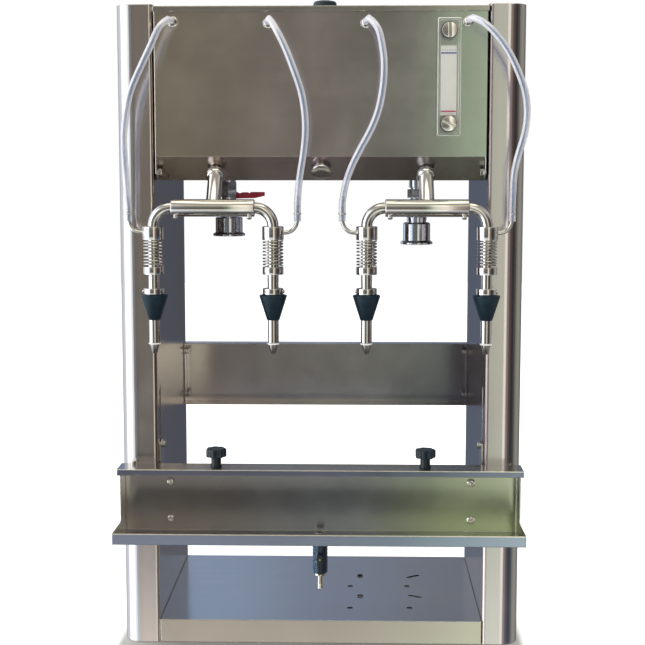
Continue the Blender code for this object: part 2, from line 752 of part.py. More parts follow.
riser_foot = TANK_FLOOR + SHEET + GAP
float_body = new_object(
    "float_valve",
    lathe("float_valve", [(0, riser_foot), (0.014, riser_foot), (0.014, riser_foot + 0.006),
                          (0.009, riser_foot + 0.007), (0.009, FLOAT_Z - 0.018),
                          (0.013, FLOAT_Z - 0.016), (0.013, FLOAT_Z + 0.014), (0, FLOAT_Z + 0.014)]),
    STEEL,
)
float_body.location = (INLET_X, y_of(PORT_DEPTH), 0)
pivot = Vector((INLET_X - 0.020, y_of(PORT_DEPTH), FLOAT_Z))
droop = FLOAT_ARM * Vector(
    (-math.cos(math.radians(FLOAT_DROOP)), 0, -math.sin(math.radians(FLOAT_DROOP)))
)
float_arm = new_object(
    "float_arm",
    tube("float_arm", [(0, 0, 0), droop * 0.5, droop], 0.0025, 10),
    STEEL,
)
float_arm.location = pivot
ball = lathe("float_ball", [(FLOAT_R * c, FLOAT_R * s) for c, s in arc((0, 0), 1, -90, 90, 10)])
ball.transform(Matrix.Translation(droop))
join(float_arm, ball).location = pivot


# ---------------------------------------------------------------- bottle shelf
def tray_slope(depth):
    """Height of the floor's underside: it falls from the lip back to the drain."""
    return SHELF_FOOT + (TRAY_FRONT_FOOT - SHELF_FOOT) * depth / -TRAY_REACH


shelf_side = [(0, SHELF_TOP), (0, SHELF_FOOT), (-TRAY_REACH, TRAY_FRONT_FOOT),
              (-TRAY_REACH, TRAY_FRONT_FOOT + TRAY_LIP), (-FLANGE_DEPTH - 0.006, SIDE_TOP),
              (-FLANGE_DEPTH - 0.0018, SIDE_TOP + 0.0018), (-FLANGE_DEPTH, SIDE_TOP + 0.006),
              (-FLANGE_DEPTH, SHELF_TOP)]
shelf_y = -GAP  # the plate's back face, clear of the columns
shelf = new_object(
    "bottle_shelf",
    prism("bottle_shelf", [(y_of(d + shelf_y), z) for d, z in shelf_side], "x",
          -SHELF_X, SHELF_X),
    STEEL,
)
front_in = -TRAY_REACH + SHEET
tray_in = [(-SHEET, SHELF_TOP + 0.05), (-SHEET, tray_slope(-SHEET) + SHEET),
           (front_in, tray_slope(front_in) + SHEET), (front_in, SHELF_TOP + 0.05)]
cut(shelf, prism("shelf_hollow", [(y_of(d + shelf_y), z) for d, z in tray_in], "x",
                 -SHELF_X + SHEET, SHELF_X - SHEET))
drain_at = Matrix.Translation((0, y_of(DRAIN_DEPTH), 0))
cut(shelf, moved(lathe("drain_hole", [(0, 0.14), (0.006, 0.14), (0.006, 0.2), (0, 0.2)], 20),
                 drain_at))

for side, word in ((-1, "left"), (1, "right")):
    outline = [(GAP, BRACKET_FOOT), (BRACKET_DEPTH - 0.012, BRACKET_FOOT),
               (BRACKET_DEPTH, BRACKET_FOOT + 0.012)]
    outline += [(BRACKET_DEPTH - 0.010 + 0.010 * c, BRACKET_TOP + 0.004 - 0.010 + 0.010 * s)
                for c, s in arc((0, 0), 1, 0, 90, 4)]
    outline += [(0.008, BRACKET_TOP + 0.004), (0.008, SHELF_TOP - 0.002), (GAP, SHELF_TOP - 0.002)]
    plate = sorted(side * x for x in (COLUMN_IN - GAP, COLUMN_IN - GAP - 2 * SHEET))
    bracket = new_object(
        f"shelf_bracket_{word}",
        prism("shelf_bracket", [(y_of(d), z) for d, z in outline], "x", *plate),
        STEEL,
    )
    foot = sorted(side * x for x in (COLUMN_IN - GAP - SHEET, COLUMN_IN - GAP - BRACKET_FLANGE))
    join(bracket, block("bracket_flange", foot, (y_of(GAP), y_of(GAP + 0.0025)),
                        (BRACKET_FOOT + 0.002, SHELF_TOP - 0.006)))
    turn = Matrix.Rotation(side * math.pi / 2, 4, "Y")
    pin = [(0, -0.007), (PIN_R + 0.002, -0.007), (PIN_R + 0.002, -0.001), (PIN_R, -0.001),
           (PIN_R, 0.006), (PIN_R + 0.003, 0.006), (PIN_R + 0.003, 0.009), (0, 0.009)]
    spot = Matrix.Translation((side * (COLUMN_IN - GAP), y_of(RACK_DEPTH), PIN_Z))
    join(bracket, moved(lathe("bracket_pin", pin, 20), spot @ turn))

ledge = new_object(
    "bottle_guide",
    block("bottle_guide", (-LEDGE_X, LEDGE_X), (y_of(-LEDGE_REACH), y_of(-GAP)),
          (LEDGE_TOP - LEDGE_SKIRT, LEDGE_TOP)),
    STEEL,
)
cut(ledge, block("guide_hollow", (-LEDGE_X + SHEET, LEDGE_X - SHEET),
                 (y_of(-LEDGE_REACH + SHEET), y_of(0.02)),
                 (LEDGE_TOP - LEDGE_SKIRT - 0.01, LEDGE_TOP - SHEET)))

lobes = []
for i in range(84):
    a = 2 * math.pi * i / 84
    r = KNOB_R - 0.0011 * (1 - math.cos(KNOB_LOBES * a))
    lobes.append((r * math.cos(a), r * math.sin(a)))
for side, word in ((-1, "left"), (1, "right")):
    place = (side * KNOB_X, y_of(KNOB_DEPTH), 0)
    knob = new_object(f"guide_knob_{word}", soften(prism("guide_knob", lobes, "z", *KNOB_Z), 40),
                      BLACK)
    knob.location = place
    hub = [(0, LEDGE_TOP + GAP), (KNOB_HUB_R + 0.0012, LEDGE_TOP + GAP), (KNOB_HUB_R, 0.2700),
           (KNOB_HUB_R, KNOB_Z[0] + 0.002), (0, KNOB_Z[0] + 0.002)]
    join(knob, lathe("knob_hub", hub)).location = place

low, high = DRAIN_Z
top_of_drain = tray_slope(DRAIN_DEPTH) - 0.0016
drain_profile = [(0, 0.0880), (0.0036, 0.0880), (0.0041, 0.0900), (0.0036, 0.0925), (0.0041, 0.0940),
                 (0.0041, 0.0965), (0.0036, 0.0985), (0.0036, 0.1082), (0.0070, 0.1085),
                 (DRAIN_R, low), (DRAIN_R, high), (0.0075, high), (0.0075, top_of_drain),
                 (0, top_of_drain)]
drain = new_object("drain_valve", lathe("drain_valve", drain_profile), BLACK)
drain.location = (0, y_of(DRAIN_DEPTH), 0)
flap = arc((0, 0), 0.0052, 20, 160, 8) + [(-0.0046, -0.0165), (0.0, -0.0185), (0.0046, -0.0165)]
drain_lever = new_object("drain_lever", prism("drain_lever", flap, "y", -0.0045, 0), BLACK)
drain_lever.location = (0, y_of(DRAIN_DEPTH) - DRAIN_R - GAP, DRAIN_AXIS_Z)
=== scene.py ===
"""Looks for the four-spout gravity bottle filler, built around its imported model.

Metres, +Z up, -Y is the operator's side. "Depth" is measured backwards from the columns' front
face, as in the model, so a negative depth is nearer the operator.
"""

from math import acos, atan2, cos, pi, radians, sin

import bmesh
import bpy
from mathutils import Matrix, Vector
from mathutils.geometry import interpolate_bezier


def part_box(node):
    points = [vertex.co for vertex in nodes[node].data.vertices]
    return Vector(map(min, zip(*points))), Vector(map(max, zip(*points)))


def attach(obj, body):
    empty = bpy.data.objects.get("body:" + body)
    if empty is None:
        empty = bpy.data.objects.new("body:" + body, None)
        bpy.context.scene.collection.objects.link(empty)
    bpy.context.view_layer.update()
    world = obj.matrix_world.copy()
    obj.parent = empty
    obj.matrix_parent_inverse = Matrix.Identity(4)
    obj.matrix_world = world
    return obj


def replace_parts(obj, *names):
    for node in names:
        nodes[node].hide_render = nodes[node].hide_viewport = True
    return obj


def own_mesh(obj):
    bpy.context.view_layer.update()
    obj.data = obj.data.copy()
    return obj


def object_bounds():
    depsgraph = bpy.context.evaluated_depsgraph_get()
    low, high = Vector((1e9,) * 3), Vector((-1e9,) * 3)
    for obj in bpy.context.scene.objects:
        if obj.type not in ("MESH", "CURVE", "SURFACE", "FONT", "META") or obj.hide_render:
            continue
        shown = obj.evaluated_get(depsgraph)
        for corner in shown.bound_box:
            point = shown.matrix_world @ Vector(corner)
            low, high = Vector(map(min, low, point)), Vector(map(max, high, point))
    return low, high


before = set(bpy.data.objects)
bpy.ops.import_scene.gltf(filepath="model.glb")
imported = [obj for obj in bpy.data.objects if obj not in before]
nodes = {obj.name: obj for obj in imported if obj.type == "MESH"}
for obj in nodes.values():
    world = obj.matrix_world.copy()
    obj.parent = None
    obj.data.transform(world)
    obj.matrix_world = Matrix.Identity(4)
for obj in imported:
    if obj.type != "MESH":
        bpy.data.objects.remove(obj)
cad_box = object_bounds()

MM = 0.001
GAP = 0.3 * MM
FRONT_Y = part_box("column_left")[0].y

CAMERA_AT = (0.0527, -2.0772, 0.6979)
CAMERA_YAW = 0.0253  # radians, turned to its left
CAMERA_PITCH = 0.1154  # radians, looking down
CAMERA_LENS = 78.0

SPOUT_DEPTH = -0.032
SPOUT_X = (-0.2311, -0.0649, 0.0649, 0.2311)
BARBS = ((-0.2045, 0.8885), (-0.0720, 0.8867), (0.0630, 0.8867), (0.2035, 0.8885))
BARB_REACH = 0.020
MANIFOLD_X, MANIFOLD_Z, MANIFOLD_R = 0.1480, 0.6327, 0.0121
VENT_OUT = 0.0340  # a vent collar's distance from its spout's axis
VENT_TOP = 0.6235
TANK_SHOULDER = 0.7034
TRAY_REACH, TRAY_FRONT_FOOT, TRAY_LIP = 0.1138, 0.1769, 0.0153
DRAIN_INSET = 0.0031  # from the tap's top face up to the tray's floor
OUTLET_X, OUTLET_PIVOT_Z = -0.1405, 0.6470
HOSE_R = 0.00475
HOSE_BORE_R = 0.0032
HOSE_POINTS, HOSE_SIDES = 36, 28
HOSE_ROUTES = (
    (
        (-0.2070, -0.031, 0.8895), (-0.2184, -0.043, 0.8766), (-0.2295, -0.050, 0.8507),
        (-0.2414, -0.054, 0.8249), (-0.2544, -0.056, 0.7955), (-0.2608, -0.056, 0.7719),
        (-0.2656, -0.054, 0.7405), (-0.2668, -0.050, 0.7087), (-0.2659, -0.046, 0.6768),
        (-0.2655, -0.038, 0.6507),
    ),
    (
        (-0.0690, -0.031, 0.8895), (-0.0589, -0.044, 0.8743), (-0.0466, -0.051, 0.8502),
        (-0.0348, -0.055, 0.8207), (-0.0248, -0.056, 0.7913), (-0.0200, -0.055, 0.7639),
        (-0.0191, -0.051, 0.7363), (-0.0223, -0.047, 0.7048), (-0.0276, -0.042, 0.6728),
        (-0.0306, -0.034, 0.6427),
    ),
    (
        (0.0675, -0.031, 0.8900), (0.0797, -0.043, 0.8740), (0.0856, -0.050, 0.8480),
        (0.0877, -0.054, 0.8244), (0.0858, -0.056, 0.7950), (0.0800, -0.056, 0.7656),
        (0.0702, -0.054, 0.7402), (0.0564, -0.050, 0.7147), (0.0444, -0.046, 0.6908),
        (0.0364, -0.039, 0.6689), (0.0314, -0.034, 0.6430),
    ),
    (
        (0.2085, -0.031, 0.8905), (0.2238, -0.043, 0.8813), (0.2411, -0.050, 0.8632),
        (0.2569, -0.054, 0.8396), (0.2687, -0.056, 0.8142), (0.2770, -0.056, 0.7909),
        (0.2806, -0.054, 0.7636), (0.2786, -0.050, 0.7362), (0.2715, -0.046, 0.7086),
        (0.2662, -0.040, 0.6828), (0.2652, -0.034, 0.6490),
    ),
)


def y_of(depth):
    return FRONT_Y + depth


# ---- camera
camera = bpy.data.objects.new("camera", bpy.data.cameras.new("camera"))
bpy.context.scene.collection.objects.link(camera)
camera.location = CAMERA_AT
camera.rotation_euler = (pi / 2 - CAMERA_PITCH, 0, CAMERA_YAW)
camera.data.lens = CAMERA_LENS
camera.data.clip_end = 50
bpy.context.scene.camera = camera
bpy.context.scene.view_settings.view_transform = "Standard"


# ---- mesh building
def shift(x, y, z):
    return Matrix.Translation((x, y, z))


def piece(name, mesh, look, at=None, body="frame"):
    """A finished mesh as a named piece that rides on a body."""
    mesh.name = name
    o = bpy.data.objects.new(name, mesh)
    bpy.context.scene.collection.objects.link(o)
    mesh.materials.append(look)
    if at:
        o.matrix_world = at
    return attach(o, body)


def loft(rings, caps=(True, True), degrees=35):
    """Rings of equally many points joined in order; a cap closes the first and last ring."""
    bm = bmesh.new()
    made = [[bm.verts.new(p) for p in ring] for ring in rings]
    count = len(rings[0])
    for a, b in zip(made, made[1:]):
        for i in range(count):
            j = (i + 1) % count
            bm.faces.new((a[i], a[j], b[j], b[i]))
    if caps[0]:
        bm.faces.new(made[0][::-1])
    if caps[1]:
        bm.faces.new(made[-1])
    bmesh.ops.recalc_face_normals(bm, faces=bm.faces)
    mesh = bpy.data.meshes.new("mesh")
    bm.to_mesh(mesh)
    bm.free()
    mesh.shade_smooth()
    mesh.set_sharp_from_angle(angle=radians(degrees))
    return mesh


def section(radius, z, count):
    """Points round Z at one height; the radius is a function of the angle."""
    angles = [2 * pi * i / count for i in range(count)]
    return [(radius(a) * cos(a), radius(a) * sin(a), z) for a in angles]


def circle(r, z, count=48):
    return section(lambda a: r, z, count)


def hexagon(across, z, count=48, turn=0.0):
    """A hexagon's outline with as many points as a circle's, so that the two can be joined."""
    sixth = pi / 3
    return section(
        lambda a: across / 2 / cos((a + turn + pi / 6) % sixth - pi / 6), z, count
    )


def turned(profile, count=48, degrees=35):
    """A body turned about Z from (radius, z) points, closed at both ends."""
    return loft([circle(r, z, count) for r, z in profile], degrees=degrees)


def bored(profile, count=64, degrees=35):
    """A ring-like body turned about Z from a closed outline of (radius, z) points."""
    rings = [circle(r, z, count) for r, z in [*profile, profile[0]]]
    return loft(rings, caps=(False, False), degrees=degrees)


def together(meshes, degrees=35):
    """Several meshes as one, with its sharp edges found again."""
    bm = bmesh.new()
    for mesh in meshes:
        bm.from_mesh(mesh)
        bpy.data.meshes.remove(mesh)
    joined = bpy.data.meshes.new("mesh")
    bm.to_mesh(joined)
    bm.free()
    joined.shade_smooth()
    joined.set_sharp_from_angle(angle=radians(degrees))
    return joined


def placed(mesh, matrix):
    mesh.transform(matrix)
    return mesh


def smooth_path(points, count):
    """A curve through the points, as count points evenly spaced along it."""
    points = [Vector(p) for p in points]
    dense = []
    for i in range(len(points) - 1):
        before, a = points[max(i - 1, 0)], points[i]
        b, after = points[i + 1], points[min(i + 2, len(points) - 1)]
        part = interpolate_bezier(a, a + (b - before) / 6, b - (after - a) / 6, b, 24)
        dense += part if not dense else part[1:]
    along = [0.0]
    for a, b in zip(dense, dense[1:]):
        along.append(along[-1] + (b - a).length)
    out, k = [], 0
    for i in range(count):
        target = along[-1] * i / (count - 1)
        while k < len(along) - 2 and along[k + 1] < target:
            k += 1
        t = (target - along[k]) / (along[k + 1] - along[k])
        out.append(dense[k].lerp(dense[k + 1], t))
    return out


def rings_along(path, radius, sides):
    """Round sections along a path, without twist."""
    ways = [
        (path[min(i + 1, len(path) - 1)] - path[max(i - 1, 0)]).normalized()
        for i in range(len(path))
    ]
    across = ways[0].orthogonal().normalized()
    rings = []
    for p, way in zip(path, ways):
        across = (across - way * across.dot(way)).normalized()
        other = way.cross(across)
        angles = [2 * pi * k / sides for k in range(sides)]
        rings.append([p + radius * (cos(a) * across + sin(a) * other) for a in angles])
    return rings


# ---- materials
BEVEL_SAMPLES = 4


class Nodes:
    """Short calls for the nodes of one tree."""

    def __init__(self, tree):
        self.tree = tree

    def put(self, node, socket, value):
        if isinstance(value, bpy.types.NodeSocket):
            self.tree.links.new(value, node.inputs[socket])
        else:
            node.inputs[socket].default_value = value

    def node(self, kind, inputs=None, **settings):
        n = self.tree.nodes.new("ShaderNode" + kind)
        for k, v in settings.items():
            setattr(n, k, v)
        for k, v in (inputs or {}).items():
            self.put(n, k, v)
        return n

    def maths(self, operation, a, b=0.0):
        return self.node("Math", {0: a, 1: b}, operation=operation).outputs[0]

    def vectors(self, operation, a, b=(0, 0, 0)):
        n = self.node("VectorMath", {0: a, 1: b}, operation=operation)
        return n.outputs["Value" if operation in ("DOT_PRODUCT", "LENGTH") else "Vector"]

    def xyz(self, vector):
        return self.node("SeparateXYZ", {0: vector}).outputs

    def ramp(self, value, low, high, to_low=0.0, to_high=1.0, shape="SMOOTHSTEP"):
        inputs = {0: value, 1: low, 2: high, 3: to_low, 4: to_high}
        return self.node("MapRange", inputs, interpolation_type=shape).outputs[0]

    def mix(self, factor, a, b):
        return self.node("Mix", {0: factor, 2: a, 3: b}).outputs[0]

    def blend(self, factor, a, b):
        n = self.node("Mix", data_type="RGBA")
        self.put(n, 0, factor)
        for k, c in ((6, a), (7, b)):
            self.put(n, k, c if isinstance(c, bpy.types.NodeSocket) else (*c, 1))
        return n.outputs[2]


class Finish(Nodes):
    """A Principled material, with short calls for the textures that drive it."""

    def __init__(self, name, metallic=0.0, **sockets):
        self.material = bpy.data.materials.new(name)
        self.material.use_nodes = True
        super().__init__(self.material.node_tree)
        self.shader = self.tree.nodes["Principled BSDF"]
        self.set("Metallic", metallic)
        for socket, value in sockets.items():
            self.set(socket.replace("_", " "), value)
        self.spot = self.node("TexCoord").outputs["Object"]

    def set(self, socket, value):
        self.put(self.shader, socket, value)

    def colour(self, value):
        self.set("Base Color", value)

    def roughness(self, value):
        self.set("Roughness", value)

    def noise(self, stretch, detail=3.0, rough=0.55):
        """Noise whose features are about 1 / stretch metres along each axis."""
        place = self.node("Mapping", {"Vector": self.spot, "Scale": stretch}).outputs[0]
        inputs = {"Vector": place, "Scale": 1.0, "Detail": detail, "Roughness": rough}
        return self.node("TexNoise", inputs).outputs[0]

    def bump(self, height, distance, strength, round_edges):
        edge = self.node("Bevel", {"Radius": round_edges}, samples=BEVEL_SAMPLES).outputs[0]
        inputs = {"Height": height, "Distance": distance, "Strength": strength, "Normal": edge}
        self.set("Normal", self.node("Bump", inputs).outputs[0])


def brushed(name, along, light=(0.66, 0.64, 0.61), dark=(0.52, 0.505, 0.48), rough=0.21,
            stretch=0.8, cut_outs=None, front=None, reflection_tints=None, below=None, inner=False):
    """Rolled stainless sheet with a directional grain, soft smudges and faint streaks.

    Light spreads across the grain: up and down on a face ground from side to side. Bends are
    rounded, and the paler colour along them is a painted highlight. In the area given as
    cut_outs the edges stay sharp and the cuts' upright walls are painted dark as shade.

    The rest paints on what the sheet would mirror in a furnished room: painted reflections and
    painted shade, not the steel's own colour. tints go from left to right, each with its x.
    below is a height and the tint under it, a painted shade. front is a lip's y, its upper
    edge's height and its colour, with a painted highlight above that edge. inner dims the faces
    turned to the middle with painted shade.
    """
    f = Finish(name, metallic=1.0)
    normal = f.node("NewGeometry").outputs["Normal"]
    across, _, up = f.xyz(normal)
    x, y, z = f.xyz(f.spot)
    bent = f.node("Bevel", {"Radius": 0.0020}, samples=BEVEL_SAMPLES).outputs[0]
    if along == "x":
        facing = f.maths("GREATER_THAN", f.maths("ABSOLUTE", across), 0.7)
        fine = f.blend(facing, f.noise((9, 900, 1900), 2.0), f.noise((1900, 9, 1900), 2.0))
        streak = f.blend(facing, f.noise((2.2, 60, 130), 4.0), f.noise((130, 2.2, 130), 4.0))
        tangent = f.vectors("CROSS_PRODUCT", normal, f.blend(facing, (1, 0, 0), (0, 1, 0)))
    else:
        fine, streak = f.noise((1900, 1900, 9), 2.0), f.noise((130, 130, 2.2), 4.0)
        tangent = f.node("CombineXYZ", {2: 1.0}).outputs[0]
    f.set("Tangent", tangent)
    smudge = f.noise((9, 9, 7), 5.0, 0.62)
    wear = f.ramp(smudge, 0.35, 0.7, 0.25, 0.75)
    tone = f.maths("ADD", f.ramp(streak, 0.3, 0.7, 0.42, 0.58), wear)
    tone = f.blend(f.maths("MULTIPLY", tone, 0.5), dark, light)
    # painted reflections: the colour shifts from left to right, as the room it mirrors does
    if reflection_tints:
        (at, tint), *others = reflection_tints
        for next_at, next_tint in others:
            tint = f.blend(f.ramp(x, at, next_at), tint, next_tint)
            at = next_at
        tone = f.vectors("MULTIPLY", tone, tint)
    # painted shade: the colour is darker under the given height
    if below:
        tint = f.blend(f.maths("LESS_THAN", z, below[0]), (1, 1, 1), below[1])
        tone = f.vectors("MULTIPLY", tone, tint)
    # painted shade: faces turned to the middle are dimmed, more towards the back and above 0.2 m
    if inner:
        inward = f.maths("LESS_THAN", f.maths("MULTIPLY", x, across), -0.1)
        dim = f.blend(f.ramp(y, -0.10, 0.22), (0.52, 0.46, 0.41), (0.38, 0.33, 0.28))
        dim = f.blend(f.ramp(z, 0.13, 0.20), (0.95, 0.86, 0.74), dim)
        tone = f.blend(inward, tone, f.vectors("MULTIPLY", tone, dim))
    # painted shade: upright walls inside the cut-outs are painted near black
    if cut_outs:
        middle, half_x, half_y = cut_outs
        inset = f.xyz(f.vectors("ABSOLUTE", f.vectors("SUBTRACT", f.spot, middle)))
        near = [f.maths("LESS_THAN", inset[0], half_x), f.maths("LESS_THAN", inset[1], half_y)]
        inside = f.maths("MULTIPLY", *near)
        bent = f.blend(inside, bent, normal)
        upright = f.maths("LESS_THAN", f.maths("ABSOLUTE", up), 0.9)
        tone = f.blend(f.maths("MULTIPLY", inside, upright), tone, (0.012, 0.011, 0.010))
    # painted reflection on the lip's face and a painted highlight along its top edge
    if front:
        face_y, face_top, face_colour = front
        lip = f.blend(f.maths("GREATER_THAN", z, face_top), face_colour, (1.0, 0.98, 0.88))
        tone = f.blend(f.maths("LESS_THAN", y, face_y), tone, lip)
    # painted highlight: bends are given a paler colour
    edge = f.ramp(f.vectors("DOT_PRODUCT", bent, normal), 0.97, 0.80)
    f.colour(f.blend(edge, tone, (0.80, 0.78, 0.73)))
    f.set("Anisotropic", f.ramp(edge, 0.0, 1.0, stretch, 0.0))
    spread = f.ramp(fine, 0.25, 0.75, rough - 0.008, rough + 0.008)
    spread = f.maths("ADD", spread, f.ramp(smudge, 0.3, 0.75, -0.025, 0.04))
    f.roughness(f.mix(edge, spread, 0.12))
    bump = {"Height": fine, "Distance": 0.00001, "Strength": 0.02, "Normal": bent}
    f.set("Normal", f.node("Bump", bump).outputs[0])
    return f.material


def bright(name, axis="Z", light=(0.80, 0.79, 0.77), dark=(0.66, 0.65, 0.63), rough=0.09):
    """Turned or polished stainless, with faint tool lines round its axis."""
    f = Finish(name, metallic=1.0, Anisotropic=0.35, Anisotropic_Rotation=0.25)
    tangent = f.node("Tangent", direction_type="RADIAL", axis=axis)
    f.set("Tangent", tangent.outputs[0])
    fine = f.noise([2600 if a == axis else 60 for a in "XYZ"], 2.0)
    cloud = f.noise((38, 38, 38), 4.0)
    f.colour(f.blend(cloud, dark, light))
    spread = f.ramp(fine, 0.25, 0.75, rough - 0.02, rough + 0.03)
    f.roughness(f.maths("ADD", spread, f.ramp(cloud, 0.4, 0.75, 0.0, 0.04)))
    f.bump(fine, 0.00002, 0.2, 0.0004)
    return f.material


def rubber(name):
    f = Finish(name, Specular_IOR_Level=0.28)
    grain, cloud = f.noise((2600, 2600, 2600), 3.0), f.noise((70, 70, 70), 4.0)
    f.colour(f.blend(f.ramp(cloud, 0.35, 0.75), (0.002, 0.012, 0.022), (0.005, 0.022, 0.036)))
    f.roughness(f.ramp(cloud, 0.3, 0.8, 0.38, 0.5))
    f.bump(grain, 0.00006, 0.35, 0.0006)
    return f.material


def moulded(name, low, high, rough=0.34):
    """Moulded plastic with a fine spark-eroded grain."""
    f = Finish(name, Specular_IOR_Level=0.5)
    grain, cloud = f.noise((1900, 1900, 1900), 2.0), f.noise((45, 45, 45), 4.0)
    f.colour(f.blend(cloud, low, high))
    f.roughness(f.ramp(cloud, 0.3, 0.75, rough - 0.05, rough + 0.1))
    f.bump(grain, 0.00005, 0.3, 0.0004)
    return f.material


def soft_pvc(name):
    """Clear PVC hose: milky blue, cloudier in patches, seen through in its middle, where a dark
    blue band is painted shade for the dark line its bore shows.
    """
    f = Finish(name, metallic=0.30)
    cloud = f.ramp(f.noise((60, 60, 30), 4.0), 0.3, 0.7)
    facing = f.node("LayerWeight", {"Blend": 0.5}).outputs["Facing"]
    wall = f.blend(cloud, (0.72, 0.73, 0.82), (0.86, 0.85, 0.88))
    # painted shade: dark blue where the hose is seen face-on
    f.colour(f.blend(f.ramp(facing, 0.01, 0.16), (0.30, 0.38, 0.53), wall))
    f.roughness(f.ramp(cloud, 0.0, 1.0, 0.08, 0.13))
    f.set("Alpha", f.ramp(facing, 0.02, 0.6, 0.40, 0.72))
    return f.material


def acrylic(name):
    """Clear moulded acrylic, pale greenish grey, with a near-white painted highlight where it is
    seen edge-on.
    """
    f = Finish(name, metallic=0.2)
    cloud = f.noise((160, 160, 40), 4.0)
    edge = f.node("LayerWeight", {"Blend": 0.5}).outputs["Facing"]
    # painted highlight: near white where the acrylic is seen edge-on
    f.colour(f.blend(f.ramp(edge, 0.05, 0.4), (0.74, 0.77, 0.72), (1.0, 1.0, 0.95)))
    f.roughness(f.ramp(cloud, 0.35, 0.8, 0.04, 0.10))
    f.set("Alpha", f.ramp(edge, 0.02, 0.5, 0.09, 0.85))
    return f.material


def turned_face(name):
    """Turned steel with a strong grain laid out about the piece's own Z axis."""
    f = Finish(name, metallic=1.0, Anisotropic=0.8, Anisotropic_Rotation=0.25)
    f.set("Tangent", f.node("Tangent", direction_type="RADIAL", axis="Z").outputs[0])
    f.colour(f.blend(f.noise((300, 300, 300)), (0.80, 0.79, 0.76), (0.92, 0.91, 0.88)))
    f.roughness(f.ramp(f.noise((900, 900, 900)), 0.3, 0.7, 0.12, 0.18))
    return f.material


def left_lit_plastic(name):
    """The drain tap's dark plastic; pale blue blotches on its left side are a painted highlight of
    the light from that side.
    """
    f = Finish(name, Specular_IOR_Level=0.6)
    # painted highlight: pale blue blotches on the left side, where the light comes from
    left = f.ramp(f.xyz(f.spot)[0], -0.0046, -0.0028, 1.0, 0.0)
    left_highlight = f.ramp(f.noise((420, 420, 260)), 0.50, 0.66)
    left_highlight = f.blend(left_highlight, (0.012, 0.075, 0.170), (0.22, 0.36, 0.50))
    f.colour(f.blend(left, (0.006, 0.018, 0.036), left_highlight))
    f.roughness(f.ramp(left, 0.0, 1.0, 0.30, 0.22))
    return f.material


def lip_y(node):
    """Just behind the face of a node's front lip."""
    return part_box(node)[0].y + 0.002


def lip_top(node):
    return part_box(node)[1].z - 0.0010


sheet_x = brushed("sheet_ground_across", "x")
sheet_base = brushed(
    "sheet_base", "x", cut_outs=((0, y_of(0.18), 0), 0.21, 0.155),
    reflection_tints=((-0.16, (1.02, 1.10, 1.16)), (0.02, (0.84, 0.84, 0.86)), (0.16, (0.87, 0.81, 0.75))),
    front=(lip_y("base_pan"), lip_top("base_pan"), (0.72, 0.67, 0.60)),
)
# painted shade: the tray's sheet is given a darker colour than the other sheets
sheet_tray = brushed(
    "sheet_tray", "x", light=(0.53, 0.52, 0.51), dark=(0.41, 0.40, 0.395),
    cut_outs=((0, y_of(-0.018), 0), 0.012, 0.010),
    reflection_tints=((-0.22, (1.05, 1.03, 1.02)), (0.02, (1.10, 1.18, 1.28)), (0.20, (1.24, 1.36, 1.10))),
    front=(lip_y("bottle_shelf"), TRAY_FRONT_FOOT + TRAY_LIP - 0.0014, (0.43, 0.51, 0.67)),
)
# painted shade: the guide's sheet is given a darker colour than the other sheets
sheet_guide = brushed(
    "sheet_guide", "x", light=(0.56, 0.55, 0.54), dark=(0.44, 0.43, 0.42),
    front=(lip_y("bottle_guide"), lip_top("bottle_guide"), (0.27, 0.30, 0.41)),
)
sheet_z = brushed("sheet_ground_upright", "z", rough=0.17, stretch=0.5)
sheet_column = brushed(
    "sheet_column", "z", rough=0.17, stretch=0.5, inner=True,
    reflection_tints=((-0.270, (1.0, 1.0, 1.0)), (-0.255, (1.40, 1.36, 1.40)),
           (0.265, (1.26, 1.22, 1.34)), (0.275, (1.0, 1.0, 1.0))),
)
sheet_tank = brushed(
    "sheet_tank", "x",
    reflection_tints=((-0.22, (1.14, 1.08, 0.96)), (-0.02, (1.20, 1.14, 1.18)),
           (0.12, (0.88, 0.88, 0.92)), (0.20, (0.98, 1.14, 1.08))),
    below=(TANK_SHOULDER, (0.72, 0.67, 0.70)),
)
# painted light: the back bar's sheet is given a lighter colour than the other sheets
sheet_bar = brushed(
    "sheet_bar", "x", light=(0.76, 0.74, 0.71), dark=(0.62, 0.60, 0.57),
    reflection_tints=((-0.22, (1.12, 1.07, 1.12)), (0.0, (1.16, 1.17, 1.22)), (0.22, (0.56, 0.58, 0.70))),
)
polished = bright("polished_turned")
polished_x = bright("polished_pipe", "X")
wire_steel = bright("spring_wire", light=(0.66, 0.64, 0.61), dark=(0.48, 0.46, 0.44), rough=0.14)
screw_face = turned_face("turned_screw_face")
plated = bright("plated_fasteners", light=(0.92, 0.91, 0.88), dark=(0.70, 0.68, 0.65), rough=0.08)
# painted reflection: the valve body's blue colour stands in for the blue it mirrors
cast = bright("valve_body", light=(0.70, 0.75, 0.82), dark=(0.54, 0.59, 0.66), rough=0.10)
tip_steel = bright("tip_steel", light=(0.42, 0.40, 0.39), dark=(0.28, 0.27, 0.26), rough=0.16)
seat_rubber = rubber("seat_rubber")
black_plastic = moulded("black_moulding", (0.003, 0.011, 0.019), (0.009, 0.023, 0.036))
tap_plastic = left_lit_plastic("tap_moulding")
drain_brown = moulded("drain_dark_dish", (0.020, 0.014, 0.008), (0.045, 0.030, 0.016), 0.55)
brass = bright("drain_nickel", light=(0.86, 0.80, 0.68), dark=(0.70, 0.62, 0.48), rough=0.14)
black_rubber = moulded("gauge_gasket", (0.008, 0.009, 0.010), (0.016, 0.017, 0.019), 0.5)
yellow_mark = moulded("yellow_mark", (0.62, 0.55, 0.04), (0.74, 0.66, 0.08), 0.4)
print_blue = moulded("printed_blue", (0.03, 0.05, 0.25), (0.05, 0.08, 0.33), 0.5)
print_red = moulded("printed_red", (0.55, 0.03, 0.08), (0.66, 0.06, 0.12), 0.5)
